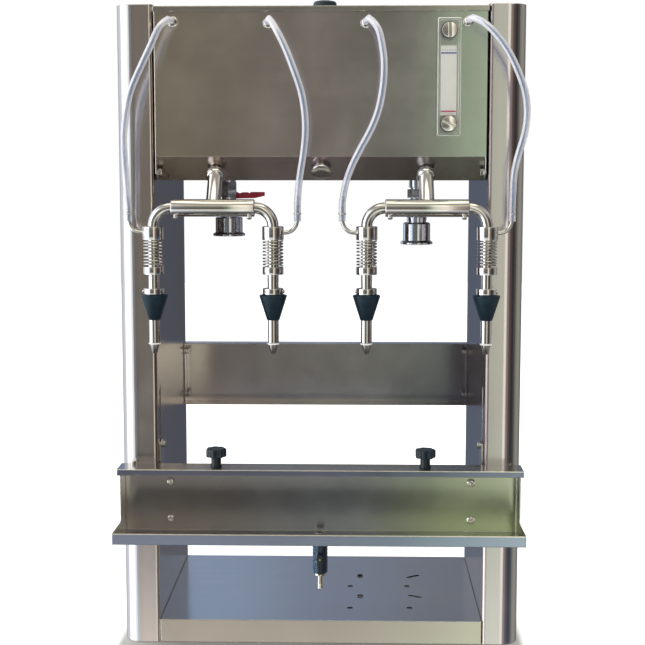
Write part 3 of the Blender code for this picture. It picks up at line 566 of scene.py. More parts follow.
red_dip = moulded("red_dip", (0.30, 0.008, 0.03), (0.42, 0.02, 0.055), 0.30)
silicone = moulded("white_silicone", (0.72, 0.72, 0.71), (0.84, 0.84, 0.83), 0.42)
scale_white = moulded("scale_plate", (0.80, 0.80, 0.77), (0.86, 0.86, 0.83), 0.45)
float_plastic = moulded("float_ball", (0.70, 0.71, 0.72), (0.80, 0.80, 0.80), 0.4)
hose_pvc = soft_pvc("hose_pvc")
gauge_clear = acrylic("gauge_acrylic")

FINISHES = {
    "column": sheet_column,
    "base_pan": sheet_base,
    "back_bar": sheet_bar,
    "tank": sheet_tank,
    "tank_lid": sheet_x,
    "lid_knob": black_plastic,
    "tank_plug": polished,
    "gauge_body": gauge_clear,
    "gauge_scale": scale_white,
    "panel_barb": polished,
    "manifold": polished_x,
    "elbow": polished,
    "spout_head": polished,
    "spout_core": polished,
    "spout_sleeve": polished,
    "bottle_cone": seat_rubber,
    "spout_spring": wire_steel,
    "vent_hose": hose_pvc,
    "outlet_valve": cast,
    "outlet_lever": red_dip,
    "inlet_fitting": cast,
    "float_valve": cast,
    "float_arm": float_plastic,
    "bottle_shelf": sheet_tray,
    "shelf_bracket": sheet_z,
    "bottle_guide": sheet_guide,
    "guide_knob": black_plastic,
    "drain_valve": black_plastic,
    "drain_lever": black_plastic,
}


def smooth_bends(degrees):
    """A modifier group that smooths every edge flatter than the given angle."""
    group = bpy.data.node_groups.new("smooth_bends", "GeometryNodeTree")
    group.interface.new_socket("Geometry", in_out="INPUT", socket_type="NodeSocketGeometry")
    group.interface.new_socket("Geometry", in_out="OUTPUT", socket_type="NodeSocketGeometry")
    new, link = group.nodes.new, group.links.new
    start, stop = new("NodeGroupInput"), new("NodeGroupOutput")
    angle = new("GeometryNodeInputMeshEdgeAngle")
    flat = new("FunctionNodeCompare")
    flat.operation = "LESS_EQUAL"
    flat.inputs[1].default_value = radians(degrees)
    link(angle.outputs["Unsigned Angle"], flat.inputs[0])
    faces, edges = new("GeometryNodeSetShadeSmooth"), new("GeometryNodeSetShadeSmooth")
    edges.domain = "EDGE"
    link(start.outputs[0], faces.inputs["Geometry"])
    link(faces.outputs[0], edges.inputs["Geometry"])
    link(flat.outputs[0], edges.inputs["Shade Smooth"])
    link(edges.outputs[0], stop.inputs[0])
    return group


bends = smooth_bends(30)
for name, node in nodes.items():
    kind = max((k for k in FINISHES if name.startswith(k)), key=len)
    node.data.materials.clear()
    node.data.materials.append(FINISHES[kind])
    node.modifiers.new("smooth_bends", "NODES").node_group = bends
    node.modifiers.new("flat_faces", "WEIGHTED_NORMAL").keep_sharp = True


# ---- vent hoses
for i, (x, barb, route) in enumerate(zip(SPOUT_X, BARBS, HOSE_ROUTES), 1):
    out = -1 if i % 2 else 1
    foot_x = x + out * VENT_OUT
    start, lead = [Vector((barb[0], y_of(-BARB_REACH - 2 * GAP - d), barb[1])) for d in (0, 0.004)]
    tail = Vector((foot_x, y_of(SPOUT_DEPTH), VENT_TOP + 0.008))
    stop = tail - Vector((0, 0, 0.0170))
    middle = [(px, y_of(depth), pz) for px, depth, pz in route]
    path = [start, *smooth_path([lead, *middle, tail], HOSE_POINTS), stop]
    outer, bore = rings_along(path, HOSE_R, HOSE_SIDES), rings_along(path, HOSE_BORE_R, HOSE_SIDES)
    wall = loft([*outer, *bore[::-1], outer[0]], caps=(False, False))
    hose = piece(f"vent_hose_{i}_wall", wall, hose_pvc)
    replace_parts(hose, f"vent_hose_{i}")
    inside = [stop + Vector((0, 0, 0.001)), *path[-2:-5:-1]]
    spigot = loft(rings_along(inside, 0.0026, 24))
    piece(f"vent_spigot_{i}", spigot, polished)
    clip = [(0.0047, 0), (0.0052, 0), (0.0056, 0.0004), (0.0056, 0.0010), (0.0052, 0.0014)]
    clip = bored([*clip, (0.0047, 0.0014)], 32, 80)
    at = shift(foot_x, y_of(SPOUT_DEPTH), VENT_TOP + 0.0006)
    piece(f"hose_clip_{i}", clip, polished, at)


# ---- fasteners
def facing(spot, way):
    """A place at a spot whose Z points along a direction."""
    turn = Vector(way).to_track_quat("Z", "Y").to_matrix().to_4x4()
    return Matrix.Translation(spot) @ turn


def hex_bolt(across, head, washer_r, washer=0.0012):
    """A hexagon head with its turned chamfer, on a plain washer."""
    top = washer + head
    return loft([
        circle(washer_r - 0.0003, 0),
        circle(washer_r, 0.0003),
        circle(washer_r, washer - 0.0003),
        circle(washer_r - 0.0003, washer),
        hexagon(across, washer + 0.00005),
        hexagon(across, top - 0.0011),
        hexagon(across * 0.985, top - 0.0006),
        circle(across / 2 * 0.97, top - 0.0001),
        circle(across / 2 * 0.90, top),
    ], degrees=25)


def button_screw(r, height, socket):
    """A domed head with a hexagon socket."""
    dome, flat = [(r, 0.0), (r, 0.0004)], socket * 0.68
    for k in range(1, 7):
        a = pi / 2 * k / 6
        dome.append((flat + (r - flat) * cos(a), 0.0004 + (height - 0.0004) * sin(a)))
    rings = [circle(q, z) for q, z in dome]
    rings += [hexagon(socket, height - 0.0002), hexagon(socket, height - 0.0020)]
    rings.append(circle(socket * 0.15, height - 0.0024))
    return loft(rings, degrees=30)


def cap_screw(r, height, socket):
    """A plain round head with a hexagon socket."""
    rings = [circle(r, 0), circle(r, height - 0.0004), circle(r - 0.0004, height)]
    rings += [circle(socket * 0.62, height), hexagon(socket, height - 0.0001)]
    rings += [hexagon(socket, height - 0.0018), circle(socket * 0.15, height - 0.0022)]
    return loft(rings, degrees=30)


for side, word in ((-1, "left"), (1, "right")):
    flange = side * (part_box("back_bar")[1].x - 0.0015)
    for z, level in ((0.3855, "upper"), (0.3140, "lower")):
        name = f"bar_bolt_{word}_{level}"
        at = facing((flange, y_of(0.320), z), (-side, 0, 0))
        piece(name, hex_bolt(0.010, 0.0050, 0.0060), plated, at)
    name = f"tank_bolt_{word}"
    at = facing((side * 0.2300, y_of(0.0115), 0.6805), (-side, 0, 0))
    piece(name, hex_bolt(0.0100, 0.0052, 0.0058), plated, at)
    for z, level in ((0.2397, "upper"), (0.1852, "lower")):
        name = f"shelf_screw_{word}_{level}"
        at = facing((side * 0.2155, y_of(-0.0018), z), (0, -1, 0))
        piece(name, button_screw(0.00625, 0.0036, 0.0040), plated, at, "shelf")

guide_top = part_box("bottle_guide")[1].z
at = facing((-0.268, y_of(-0.007), guide_top), (0, 0, 1))
piece("guide_screw", cap_screw(0.0035, 0.0050, 0.0025), plated, at, "guide")

for side in (-1, 1):
    for end in (-1, 1):
        name = f"pipe_screw_{'left' if side < 0 else 'right'}_{'outer' if end == side else 'inner'}"
        way = Vector((0, -0.50, -0.866))
        spot = Vector((side * MANIFOLD_X + end * 0.0510, y_of(SPOUT_DEPTH), MANIFOLD_Z))
        spot += way * (MANIFOLD_R - 0.0012)
        at = facing(spot, way)
        piece(name, cap_screw(0.0033, 0.0058, 0.0025), plated, at)


# ---- manifolds and elbows
MANIFOLD_HALF = 0.0576
ELBOW_R = 0.00775
HEAD_R = 0.0148
HEAD_Z = (0.5887, 0.6072)
TANK_FLOOR = 0.6698
slant = (TANK_SHOULDER - TANK_FLOOR) / 2
bend = 0.0831 - MANIFOLD_HALF - GAP
drop = MANIFOLD_Z - HEAD_Z[1] - GAP


def on_slant(x, rise=0.0):
    """The middle of the tank's slanted face, its Z pointing out of the tank."""
    spot = shift(x, y_of(slant - rise), TANK_FLOOR + slant + rise)
    return spot @ Matrix.Rotation(radians(135), 4, "X")


stub_from = on_slant(0).translation
stub_to = Vector((0, y_of(SPOUT_DEPTH), MANIFOLD_Z))
stub_turn = (stub_to - stub_from).to_track_quat("Z", "Y").to_matrix().to_4x4()
neck = [(0.0085, 0.0006), (0.0092, 0.0022), (0.0108, 0.0045), (0.0124, 0.0070), (0.0134, 0.0098),
        (0.0137, 0.0125), (0.0136, 0.0150), (0.0130, 0.0172), (0.0118, 0.0186), (0.0106, 0.0188)]
for side, word in ((-1, "left"), (1, "right")):
    half, r, edge = MANIFOLD_HALF, MANIFOLD_R, 0.0012
    ends = [(r - edge, -half), (r - edge * 0.3, -half + edge * 0.3), (r, -half + edge)]
    pipe = turned([*ends, *[(q, -z) for q, z in ends[::-1]]], 64, 50)
    placed(pipe, shift(side * MANIFOLD_X, y_of(SPOUT_DEPTH), MANIFOLD_Z)
           @ Matrix.Rotation(pi / 2, 4, "Y"))
    stub = [*neck, (0.0103, 0.0194), (0.0103, (stub_to - stub_from).length)]
    stub = turned(stub, 64, 50)
    placed(stub, Matrix.Translation(stub_from + Vector((side * MANIFOLD_X, 0, 0))) @ stub_turn)
    name = f"manifold_{word}_pipe"
    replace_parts(piece(name, together([pipe, stub], 50), polished_x),
                f"manifold_{word}")

plug = [(0.0100, 0), (0.0092, 0.0034), (0.0128, 0.0046), (0.0138, 0.0056), (0.0140, 0.0070),
        (0.0140, 0.0088), (0.0136, 0.0097), (0.0126, 0.0100), (0.0060, 0.0100)]
at = on_slant(0.0008, 0.0010) @ shift(0, 0, GAP)
plug = piece("drain_plug", turned(plug, 64, 30), polished, at)
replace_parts(plug, "tank_plug")

barb_profile = [(0.0068, 0), (0.0074, 0.0005), (0.0075, 0.0012), (0.0075, 0.0034), (0.0070, 0.0040),
                (0.0056, 0.0044), (0.0050, 0.0075), (0.0054, 0.0110), (0.0048, 0.0114),
                (0.0046, 0.0150), (0.0052, 0.0170), (0.0046, 0.0174), (0.0042, BARB_REACH)]
for i, (x, z) in enumerate(BARBS, 1):
    at = facing((x, y_of(0) - GAP, z), (0, -1, 0))
    barb = turned(barb_profile, 48, 30)
    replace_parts(piece(f"barb_{i}", barb, polished, at), f"panel_barb_{i}")


# ---- spouts
COLLAR_R = 0.0144
HEAD_BORE_R = 0.0080
CORE_R = 0.0052
SLEEVE_R = 0.0076
SLEEVE_BORE_R = 0.0057
SLEEVE_Z = (0.4450, 0.5905)
CONE_COLLAR = (0.5124, 0.5214)
CONE_Z = (0.4770, 0.5121)
SPRING_COLLAR = (0.5409, 0.5513)
SPRING_R = 0.0133
SPRING_WIRE = 0.0011
SPRING_TURNS = 8
SPRING_Z = (0.5513, 0.5887)
TIP_END = 0.4297
VENT_PATH = ((0.0120, 0.5984), (0.0210, 0.5992), (0.0280, 0.6030), (0.0325, 0.6100),
             (VENT_OUT, 0.6180))


def band(z, radius, inner, edge=0.0006):
    """The outline of a round band with softened outer edges."""
    low, high = z
    return [(inner, low), (radius - edge, low), (radius - edge * 0.3, low + edge * 0.3),
            (radius, low + edge), (radius, high - edge), (radius - edge * 0.3, high - edge * 0.3),
            (radius - edge, high), (inner, high)]


head_profile = band(HEAD_Z, HEAD_R, HEAD_BORE_R)[:-1]
head_profile += [(CORE_R + 2 * GAP, HEAD_Z[1]), (CORE_R + 2 * GAP, HEAD_Z[1] - 0.002),
                 (HEAD_BORE_R, HEAD_Z[1] - 0.002)]
tip_profile = [(0.0030, TIP_END), (0.0035, TIP_END + 0.0005), (0.0068, 0.4424), (0.0070, 0.4430),
               (0.0060, 0.4430)]
core_profile = [(0.0060, 0.4430), (0.0060, 0.4447), (CORE_R, 0.4447), (CORE_R, HEAD_Z[1] - GAP)]
sleeve_profile = [(SLEEVE_BORE_R, SLEEVE_Z[0]), (SLEEVE_R - 0.0004, SLEEVE_Z[0]),
                  (SLEEVE_R, SLEEVE_Z[0] + 0.0004)]
sleeve_profile += band(CONE_COLLAR, COLLAR_R, SLEEVE_R)
sleeve_profile += band(SPRING_COLLAR, COLLAR_R, SLEEVE_R)
sleeve_profile += [(SLEEVE_R, SLEEVE_Z[1]), (SLEEVE_BORE_R, SLEEVE_Z[1])]
cone_r = (0.00875, 0.0191)
cone_low, cone_high = CONE_Z
cone_profile = [(SLEEVE_R + GAP, cone_low), (cone_r[0] - 0.0006, cone_low),
                (cone_r[0], cone_low + 0.0006), (cone_r[1] - 0.0003, cone_high - 0.0026),
                (cone_r[1], cone_high - 0.0018), (cone_r[1], cone_high - 0.0008),
                (cone_r[1] - 0.0008, cone_high), (SLEEVE_R + GAP, cone_high)]

for i, x in enumerate(SPOUT_X, 1):
    out = -1 if i % 2 else 1
    end = 1 if abs(x) > MANIFOLD_X else -1
    end = end if x > 0 else -end
    axis = Vector((x, y_of(SPOUT_DEPTH), 0))
    at = Matrix.Translation(axis)

    turn = [radians(3.75 * k) for k in range(25)]
    way = [Vector((end * bend * (sin(a) - 1), 0, drop * cos(a) + HEAD_Z[1] + GAP)) for a in turn]
    elbow = loft(rings_along(way, ELBOW_R, 40))
    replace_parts(piece(f"elbow_pipe_{i}", elbow, polished_x, at), f"elbow_{i}")

    vent = [Vector((out * px, 0, pz)) for px, pz in VENT_PATH]
    vent = loft(rings_along(smooth_path(vent, 24), 0.0027, 24))
    name = f"head_{i}"
    head = together([bored(head_profile), vent], 30)
    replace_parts(piece(name, head, polished, at), f"spout_head_{i}")

    piece(f"tip_{i}", turned(tip_profile, 64, 30), tip_steel, at)
    core = turned(core_profile, 64, 30)
    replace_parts(piece(f"core_{i}", core, polished, at), f"spout_core_{i}")
    sleeve = bored(sleeve_profile, 64, 30)
    sleeve = piece(f"sleeve_{i}", sleeve, polished, at, f"spout_{i}")
    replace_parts(sleeve, f"spout_sleeve_{i}")
    cone = bored(cone_profile, 64, 50)
    cone = piece(f"cone_{i}", cone, seat_rubber, at, f"spout_{i}")
    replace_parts(cone, f"bottle_cone_{i}")

    low, high = SPRING_Z[0] + GAP + SPRING_WIRE, SPRING_Z[1] - GAP - SPRING_WIRE
    steps = 32 * SPRING_TURNS
    coil = []
    for k in range(steps + 1):
        a = 2 * pi * SPRING_TURNS * k / steps
        t = k / steps
        rise = t - 0.018 * sin(2 * pi * t)
        z = low + (high - low) * rise
        coil.append(axis + Vector((SPRING_R * cos(a), SPRING_R * sin(a), z)))
    spring = loft(rings_along(coil, SPRING_WIRE, 10))
    spring = piece(f"spring_{i}", spring, wire_steel)
    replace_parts(spring, f"spout_spring_{i}")
    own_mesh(spring)

    ring = [(0.0060, 0.0), (0.0083, 0.0), (0.0085, 0.0003), (0.0085, 0.0015), (0.0083, 0.0018)]
    seal = turned([*ring, (0.0060, 0.0018)])
    at = Matrix.Translation(axis + Vector((0, 0, 0.4429)))
    piece(f"seal_ring_{i}", seal, silicone, at)

    name = f"collar_screw_{i}"
    at = facing(axis + Vector((out * (COLLAR_R - 0.0004), -0.0015, 0.5169)), (out, -0.1, 0))
    piece(name, cap_screw(0.0019, 0.0020, 0.0015), plated, at, f"spout_{i}")

    name = f"head_screw_{i}"
    a = radians(52)
    way = Vector((out * sin(a), -cos(a), 0))
    at = facing(axis + way * (HEAD_R - 0.0012) + Vector((0, 0, 0.5925)), way)
    piece(name, cap_screw(0.0016, 0.0013, 0.0015), seat_rubber, at)


# ---- level gauge
gauge_low, gauge_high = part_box("gauge_body")
scale_low, scale_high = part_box("gauge_scale")
gauge_x = (gauge_low.x + gauge_high.x) / 2
GASKET = 0.0013


def half_moon(sign, r, half_slot, low, high, edge):
    """Half of a slotted head, as rings that follow its D-shaped outline."""
    def outline(shrink, z):
        q, near = r - shrink, half_slot + shrink
        limit = acos(near / q)
        arc = [(q * cos(a), q * sin(a)) for a in
               (limit * (2 * k / 20 - 1) for k in range(21))]
        return [(sign * px, sign * py, z) for px, py in arc]
    return [outline(0, low), outline(0, high - edge), outline(edge * 0.3, high - edge * 0.3),
            outline(edge, high)]


def slotted_screw(r, height):
    """A turned gauge screw with a flat face, softened at its rim, and a driver slot."""
    parts = [loft([circle(r, 0), circle(r, height * 0.55), circle(r * 0.3, height * 0.55)])]
    parts += [loft(half_moon(sign, r, 0.0007, height * 0.5, height, 0.0008)) for sign in (-1, 1)]
    return together(parts, 25)


def frame_outline(shrink, z, corner=0.0022):
    """The gauge body's outline, drawn in by an amount."""
    w, h = GAUGE_SIZE[0] / 2 - shrink, GAUGE_SIZE[1] / 2 - shrink
    q = max(corner - shrink, 0.0006)
    out = []
    corners = ((w - q, h - q), (q - w, h - q), (q - w, q - h), (w - q, q - h))
    for first, (cx, cy) in zip((0, 90, 180, 270), corners):
        for k in range(7):
            a = radians(first + 15 * k)
            out.append((cx + q * cos(a), cy + q * sin(a), z))
    return out


GAUGE_SIZE = (gauge_high.x - gauge_low.x, gauge_high.z - gauge_low.z)
thick = gauge_high.y - gauge_low.y
body = loft([
    frame_outline(0, 0),
    frame_outline(0, thick - 0.0009),
    frame_outline(0.0009, thick),
    frame_outline(0.0030, thick),
    frame_outline(0.0034, thick - 0.0018),
], degrees=30)
middle_z = (gauge_low.z + gauge_high.z) / 2
at = facing((gauge_x, gauge_high.y, middle_z), (0, -1, 0))
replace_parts(piece("gauge_block", body, gauge_clear, at), "gauge_body")

for k in range(6):
    outline = [(-0.0003, -0.0011), (0.0003, -0.0011), (0.0003, 0.0011), (-0.0003, 0.0011)]
    tick = loft([[(px, pz, h) for px, pz in outline] for h in (0.0, 0.00012)])
    at = facing((gauge_x - 0.0085 + 0.0034 * k, scale_low.y, 0.8494), (0, -1, 0))
    piece(f"gauge_tick_{k}", tick, print_blue, at)

for z, word, turn in ((0.8758, "upper", 2), (0.7486, "lower", 68)):
    at = facing((gauge_x, gauge_low.y, z), (0, -1, 0))
    gasket = [(0.0070, 0), (0.0110, 0), (0.0114, 0.0004), (0.0114, 0.0009), (0.0110, GASKET)]
    gasket = turned([*gasket, (0.0070, GASKET)])
    piece(f"gauge_gasket_{word}", gasket, black_rubber, at)
    raised = at @ shift(0, 0, GASKET) @ Matrix.Rotation(radians(turn), 4, "Z")
    piece(f"gauge_screw_{word}", slotted_screw(0.0106, 0.0046), screw_face, raised)

for z, word, look in ((0.8455, "full", print_blue), (0.7657, "low", print_red)):
    half = (scale_high.x - scale_low.x) / 2 - 0.0004
    outline = [(-half, -0.0010), (half, -0.0010), (half, 0.0010), (-half, 0.0010)]
    rings = [[(px, pz, h) for px, pz in outline] for h in (0.0, 0.00012)]
    at = facing((gauge_x, scale_low.y, z), (0, -1, 0))
    piece(f"gauge_line_{word}", loft(rings), look, at)


# ---- knobs
FINE = 168  # points round a grip's section


def lobed(r, depth, lobes, z):
    return section(lambda a: r - depth * (1 - cos(lobes * a)), z, FINE)


for side, word in ((-1, "left"), (1, "right")):
    low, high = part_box(f"guide_knob_{word}")
    middle = (low + high) / 2
    foot, top, r = low.z, high.z, 0.0148
    rim = top - 0.0127
    rings = [circle(0.0082, foot, FINE), circle(0.0082, foot + 0.0006, FINE),
             circle(0.0070, foot + 0.0040, FINE), circle(0.0070, rim - 0.0006, FINE),
             circle(0.0078, rim, FINE)]
    for k in range(5):
        a = pi / 2 * k / 4
        shrink = 0.0022 * (1 - sin(a))
        rings.append(lobed(r - shrink, 0.0011, 7, rim + 0.0022 * (1 - cos(a))))
    for k in range(6):
        a = pi / 2 * k / 5
        shrink = 0.0030 * (1 - cos(a))
        rings.append(lobed(r - shrink, 0.0011 * (1 - 0.3 * k / 5), 7, top - 0.0030 * (1 - sin(a))))
    rings += [circle(0.0080, top, FINE), circle(0.0074, top - 0.0005, FINE),
              circle(0.0030, top - 0.0005, FINE)]
    at = shift(middle.x, middle.y, 0)
    knob = loft(rings, degrees=40)
    knob = piece(f"knob_{word}", knob, black_plastic, at, f"knob_{word}")
    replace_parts(knob, f"guide_knob_{word}")

low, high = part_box("lid_knob")
middle = (low + high) / 2
r, h = (high.x - low.x) / 2, high.z - low.z
rings = [circle(r - 0.0012, 0, FINE), circle(r - 0.0004, 0.0006, FINE),
         lobed(r - 0.0002, 0.0004, 28, 0.0030), lobed(r, 0.0006, 28, 0.0060),
         lobed(r, 0.0006, 28, h - 0.0080)]
for k in range(1, 6):
    a = pi / 2 * k / 5
    rings.append(circle(r - 0.0006 - 0.0040 * (1 - cos(a)), h - 0.0060 + 0.0048 * sin(a), FINE))
rings += [circle(r - 0.0075, h - 0.0006, FINE), circle(r - 0.0100, h, FINE), circle(0.002, h, FINE)]
at = shift(middle.x, middle.y, low.z)
knob = piece("lid_grip", loft(rings, degrees=40), black_plastic, at, "lid")
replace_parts(knob, "lid_knob")


# ---- drain tap
low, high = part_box("drain_valve")
tap_x, tap_y = (low.x + high.x) / 2, (low.y + high.y) / 2
tap_r = (high.x - low.x) / 2


def ribbed(r, z):
    """A round section whose left third is ribbed, for the fingers."""
    def radius(a):
        grip = max(0.0, -cos(a) - 0.25)
        return r - 0.0005 * min(1.0, grip * 3) * (1 - cos(56 * a)) / 2
    return section(radius, z, FINE)


rings = [circle(0.0060, 0.1119, FINE), circle(tap_r - 0.0016, 0.1120, FINE),
         ribbed(tap_r - 0.0004, 0.1126), ribbed(tap_r, 0.1140)]
rings += [ribbed(tap_r - (0.0005 if k % 2 else 0.0), 0.1140 + 0.0026 * k) for k in range(1, 19)]
rings += [circle(tap_r - 0.0008, 0.1648, FINE), circle(tap_r - 0.0025, 0.1658, FINE),
          circle(0.0074, 0.1660, FINE), circle(0.0074, high.z, FINE)]
at = shift(tap_x, tap_y, 0)
tap = piece("tap_body", loft(rings, degrees=30), tap_plastic, at, "shelf")
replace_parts(tap, "drain_valve")
barb = turned([(0.0026, 0.0880), (0.0036, 0.0882), (0.0042, 0.0905), (0.0036, 0.0926),
               (0.0042, 0.0945), (0.0042, 0.0962), (0.0036, 0.0985), (0.0036, 0.1078),
               (0.0084, 0.1082), (0.0089, 0.1088), (0.0089, 0.1112), (0.0084, 0.1117)])
piece("tap_barb", barb, brass, at, "shelf")

low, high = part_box("drain_lever")
pivot_z = 0.1310


def flap(shrink, y):
    """The tap lever's outline: round at its pivot and pointed below."""
    r, top = 0.0052 - shrink, 0.0060
    turns = [radians(a) for a in range(-10, 191, 10)]
    arc = [(r * cos(a), top + r * sin(a)) for a in turns]
    tip = [(-0.0030 + shrink, -0.0172), (-0.0018, -0.0190 + shrink), (0.0018, -0.0190 + shrink),
           (0.0030 - shrink, -0.0172)]
    return [(px, y, pivot_z + pz) for px, pz in [*arc, *tip]]


middle_x = (low.x + high.x) / 2
rings = [flap(0.0004, high.y), flap(0, high.y - 0.0006)]
rings += [flap(0, low.y + 0.0010), flap(0.0010, low.y)]
lever = loft(rings, degrees=40)
at = shift(middle_x, 0, 0)
lever = piece("tap_lever", lever, black_plastic, at, "drain_handle")
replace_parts(lever, "drain_lever")
dot = turned([(0.0010, 0), (0.0010, 0.0003), (0.0008, 0.0005)], 24)
at = facing((middle_x, low.y - 0.00002, pivot_z + 0.0031), (0, -1, 0))
piece("tap_mark", dot, yellow_mark, at, "drain_handle")

# The drain's rim lies on the tray's floor, which falls towards it from the lip.
tray_tilt = atan2(TRAY_FRONT_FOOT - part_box("bottle_shelf")[0].z, TRAY_REACH)
drain_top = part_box("drain_valve")[1].z + DRAIN_INSET
on_floor = facing((tap_x, tap_y, drain_top), (0, sin(tray_tilt), cos(tray_tilt)))
rim = bored([(0.0069, 0.0001), (0.0080, 0.0001), (0.0081, 0.0005), (0.0076, 0.0008),
             (0.0069, 0.0008)])
piece("drain_rim", rim, brass, on_floor, "shelf")
# a dark brown dish fills the drain hole under its rim
bowl = turned([(0.0030, -0.0025), (0.0055, -0.0014), (0.0056, 0.0001), (0.0068, 0.0001),
               (0.0068, 0.0006), (0.0056, 0.0007), (0.0030, -0.0012), (0.0008, -0.0016)])
piece("drain_dark_dish", bowl, drain_brown, on_floor, "shelf")

# ---- tank outlet and inlet
PORT_DEPTH = 0.130
port_top = TANK_FLOOR - GAP


def ferrule(foot, top, radius=0.0202, lip_r=0.0241):
    """The wide port with a clamp flange at its mouth, open from below."""
    bore = radius - 0.003
    return [(0.0005, foot + 0.020), (bore, foot + 0.020), (bore, foot + 0.0006),
            (bore + 0.0006, foot),
            (lip_r - 0.0010, foot), (lip_r - 0.0002, foot + 0.0006), (lip_r, foot + 0.0016),
            (lip_r - 0.0002, foot + 0.0028), (lip_r - 0.0012, foot + 0.0038),
            (radius + 0.0006, foot + 0.0050), (radius, foot + 0.0060), (radius, top)]


def hex_ring(across, low, high, turn):
    edge = 0.0012
    return [circle(across / 2 * 0.96, low), hexagon(across * 0.99, low + edge * 0.5, turn=turn),
            hexagon(across, low + edge, turn=turn), hexagon(across, high - edge, turn=turn),
            hexagon(across * 0.99, high - edge * 0.5, turn=turn), circle(across / 2 * 0.96, high)]


outlet = ferrule(0.5858, 0.6125) + [(0.0194, 0.6134), (0.0112, 0.6140), (0.0110, 0.6150),
                                    (0.0110, 0.6420), (0.0106, 0.6440), (0.0106, port_top)]
stem = turned([(0.0045, 0), (0.0045, 0.0208), (0.0038, 0.0215)], 32)
placed(stem, shift(0, 0, OUTLET_PIVOT_Z) @ Matrix.Rotation(-pi / 2, 4, "X"))
parts = [turned(outlet, 64, 30), loft(hex_ring(0.0218, 0.6430, 0.6660, 0)), stem]
at = shift(OUTLET_X, y_of(PORT_DEPTH), 0)
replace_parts(piece("outlet_body", together(parts, 28), cast, at),
            "outlet_valve")

inlet = ferrule(0.5737, 0.6038) + [(0.0194, 0.6050), (0.0182, 0.6060), (0.0142, 0.6065),
                                   (0.0150, 0.6139), (0.0100, 0.6145), (0.0100, 0.6575),
                                   (0.0118, 0.6577), (0.0122, 0.6584), (0.0122, port_top)]
parts = [turned(inlet, 64, 30), loft(hex_ring(0.0246, 0.6422, 0.6556, pi / 6))]
inlet_low, inlet_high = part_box("inlet_fitting")
at = shift((inlet_low.x + inlet_high.x) / 2, y_of(PORT_DEPTH), 0)
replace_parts(piece("inlet_body", together(parts, 28), cast, at),
            "inlet_fitting")

nut = hex_bolt(0.0070, 0.0030, 0.0042, 0.0006)
at = facing((OUTLET_X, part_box("outlet_lever")[1].y, OUTLET_PIVOT_Z), (0, 1, 0))
piece("outlet_nut", nut, plated, at, "outlet_handle")


# ---- light and floor
# The studio's brightness round the machine: azimuth from straight in front, positive to the
# right, then the colour, then how far HEIGHT applies.
ROUND = (
    (-180, (0.12, 0.14, 0.19), 0), (-165, (0.10, 0.13, 0.18), 0), (-145, (0.60, 0.65, 0.72), 0),
    (-120, (0.95, 1.00, 1.10), 0), (-102, (0.95, 1.00, 1.10), 0), (-96, (2.40, 2.45, 2.50), 0),
    (-54, (2.40, 2.45, 2.50), 0), (-45, (1.00, 1.05, 1.15), 0), (-35, (0.34, 0.36, 0.40), 0.5),
    (-26, (0.21, 0.20, 0.185), 1), (-9, (0.20, 0.180, 0.155), 1), (0, (0.17, 0.158, 0.135), 1),
    (2.5, (0.18, 0.18, 0.150), 1), (4.3, (0.34, 0.38, 0.29), 0.6), (5, (0.38, 0.44, 0.32), 0.3),
    (6, (0.66, 0.73, 0.54), 0), (8, (0.95, 0.92, 0.76), 0), (16, (1.15, 1.08, 0.92), 0),
    (21, (0.42, 0.35, 0.30), 0), (35, (0.15, 0.115, 0.10), 0), (48, (0.07, 0.055, 0.05), 0),
    (62, (0.04, 0.035, 0.04), 0), (72, (0.08, 0.075, 0.08), 0), (90, (0.32, 0.31, 0.27), 0),
    (107, (0.45, 0.43, 0.39), 0), (140, (0.24, 0.24, 0.25), 0), (160, (0.08, 0.08, 0.10), 0),
    (172, (0.10, 0.11, 0.14), 0), (180, (0.12, 0.14, 0.19), 0),
)
# How the wall straight in front changes with elevation.
HEIGHT = (
    (-90, 0.3), (-36, 0.9), (-28, 4.2), (-20, 4.6), (-18, 3.4), (-15.5, 1.1), (-13.5, 0.4),
    (-11.5, 0.3), (-7, 0.9), (90, 1.0),
)
# What the ceiling and floor add: elevation, then colour.
ABOVE = (
    (-90, (0.04, 0.04, 0.05)), (-60, (0.10, 0.10, 0.11)), (-42, (0.46, 0.45, 0.43)),
    (-34, (0.34, 0.36, 0.38)), (-26, (0.13, 0.17, 0.25)), (-20, (0.02, 0.02, 0.03)),
    (-15.5, (0.0, 0.04, 0.08)), (-12.5, (0.0, 0.0, 0.0)), (12, (0.01, 0.01, 0.01)),
    (22, (0.18, 0.17, 0.15)), (34, (0.50, 0.47, 0.38)), (46, (0.42, 0.38, 0.33)),
    (60, (0.42, 0.38, 0.33)), (66, (2.3, 2.2, 1.8)), (74, (2.3, 2.2, 1.8)),
    (82, (0.55, 0.53, 0.48)), (90, (0.45, 0.44, 0.42)),
)
ABOVE_BEHIND = (
    (-90, (0.04, 0.04, 0.05)), (5, (0.0, 0.0, 0.0)), (11, (0.05, 0.06, 0.08)),
    (18, (0.20, 0.25, 0.36)), (36, (0.28, 0.33, 0.42)), (90, (0.45, 0.44, 0.42)),
)


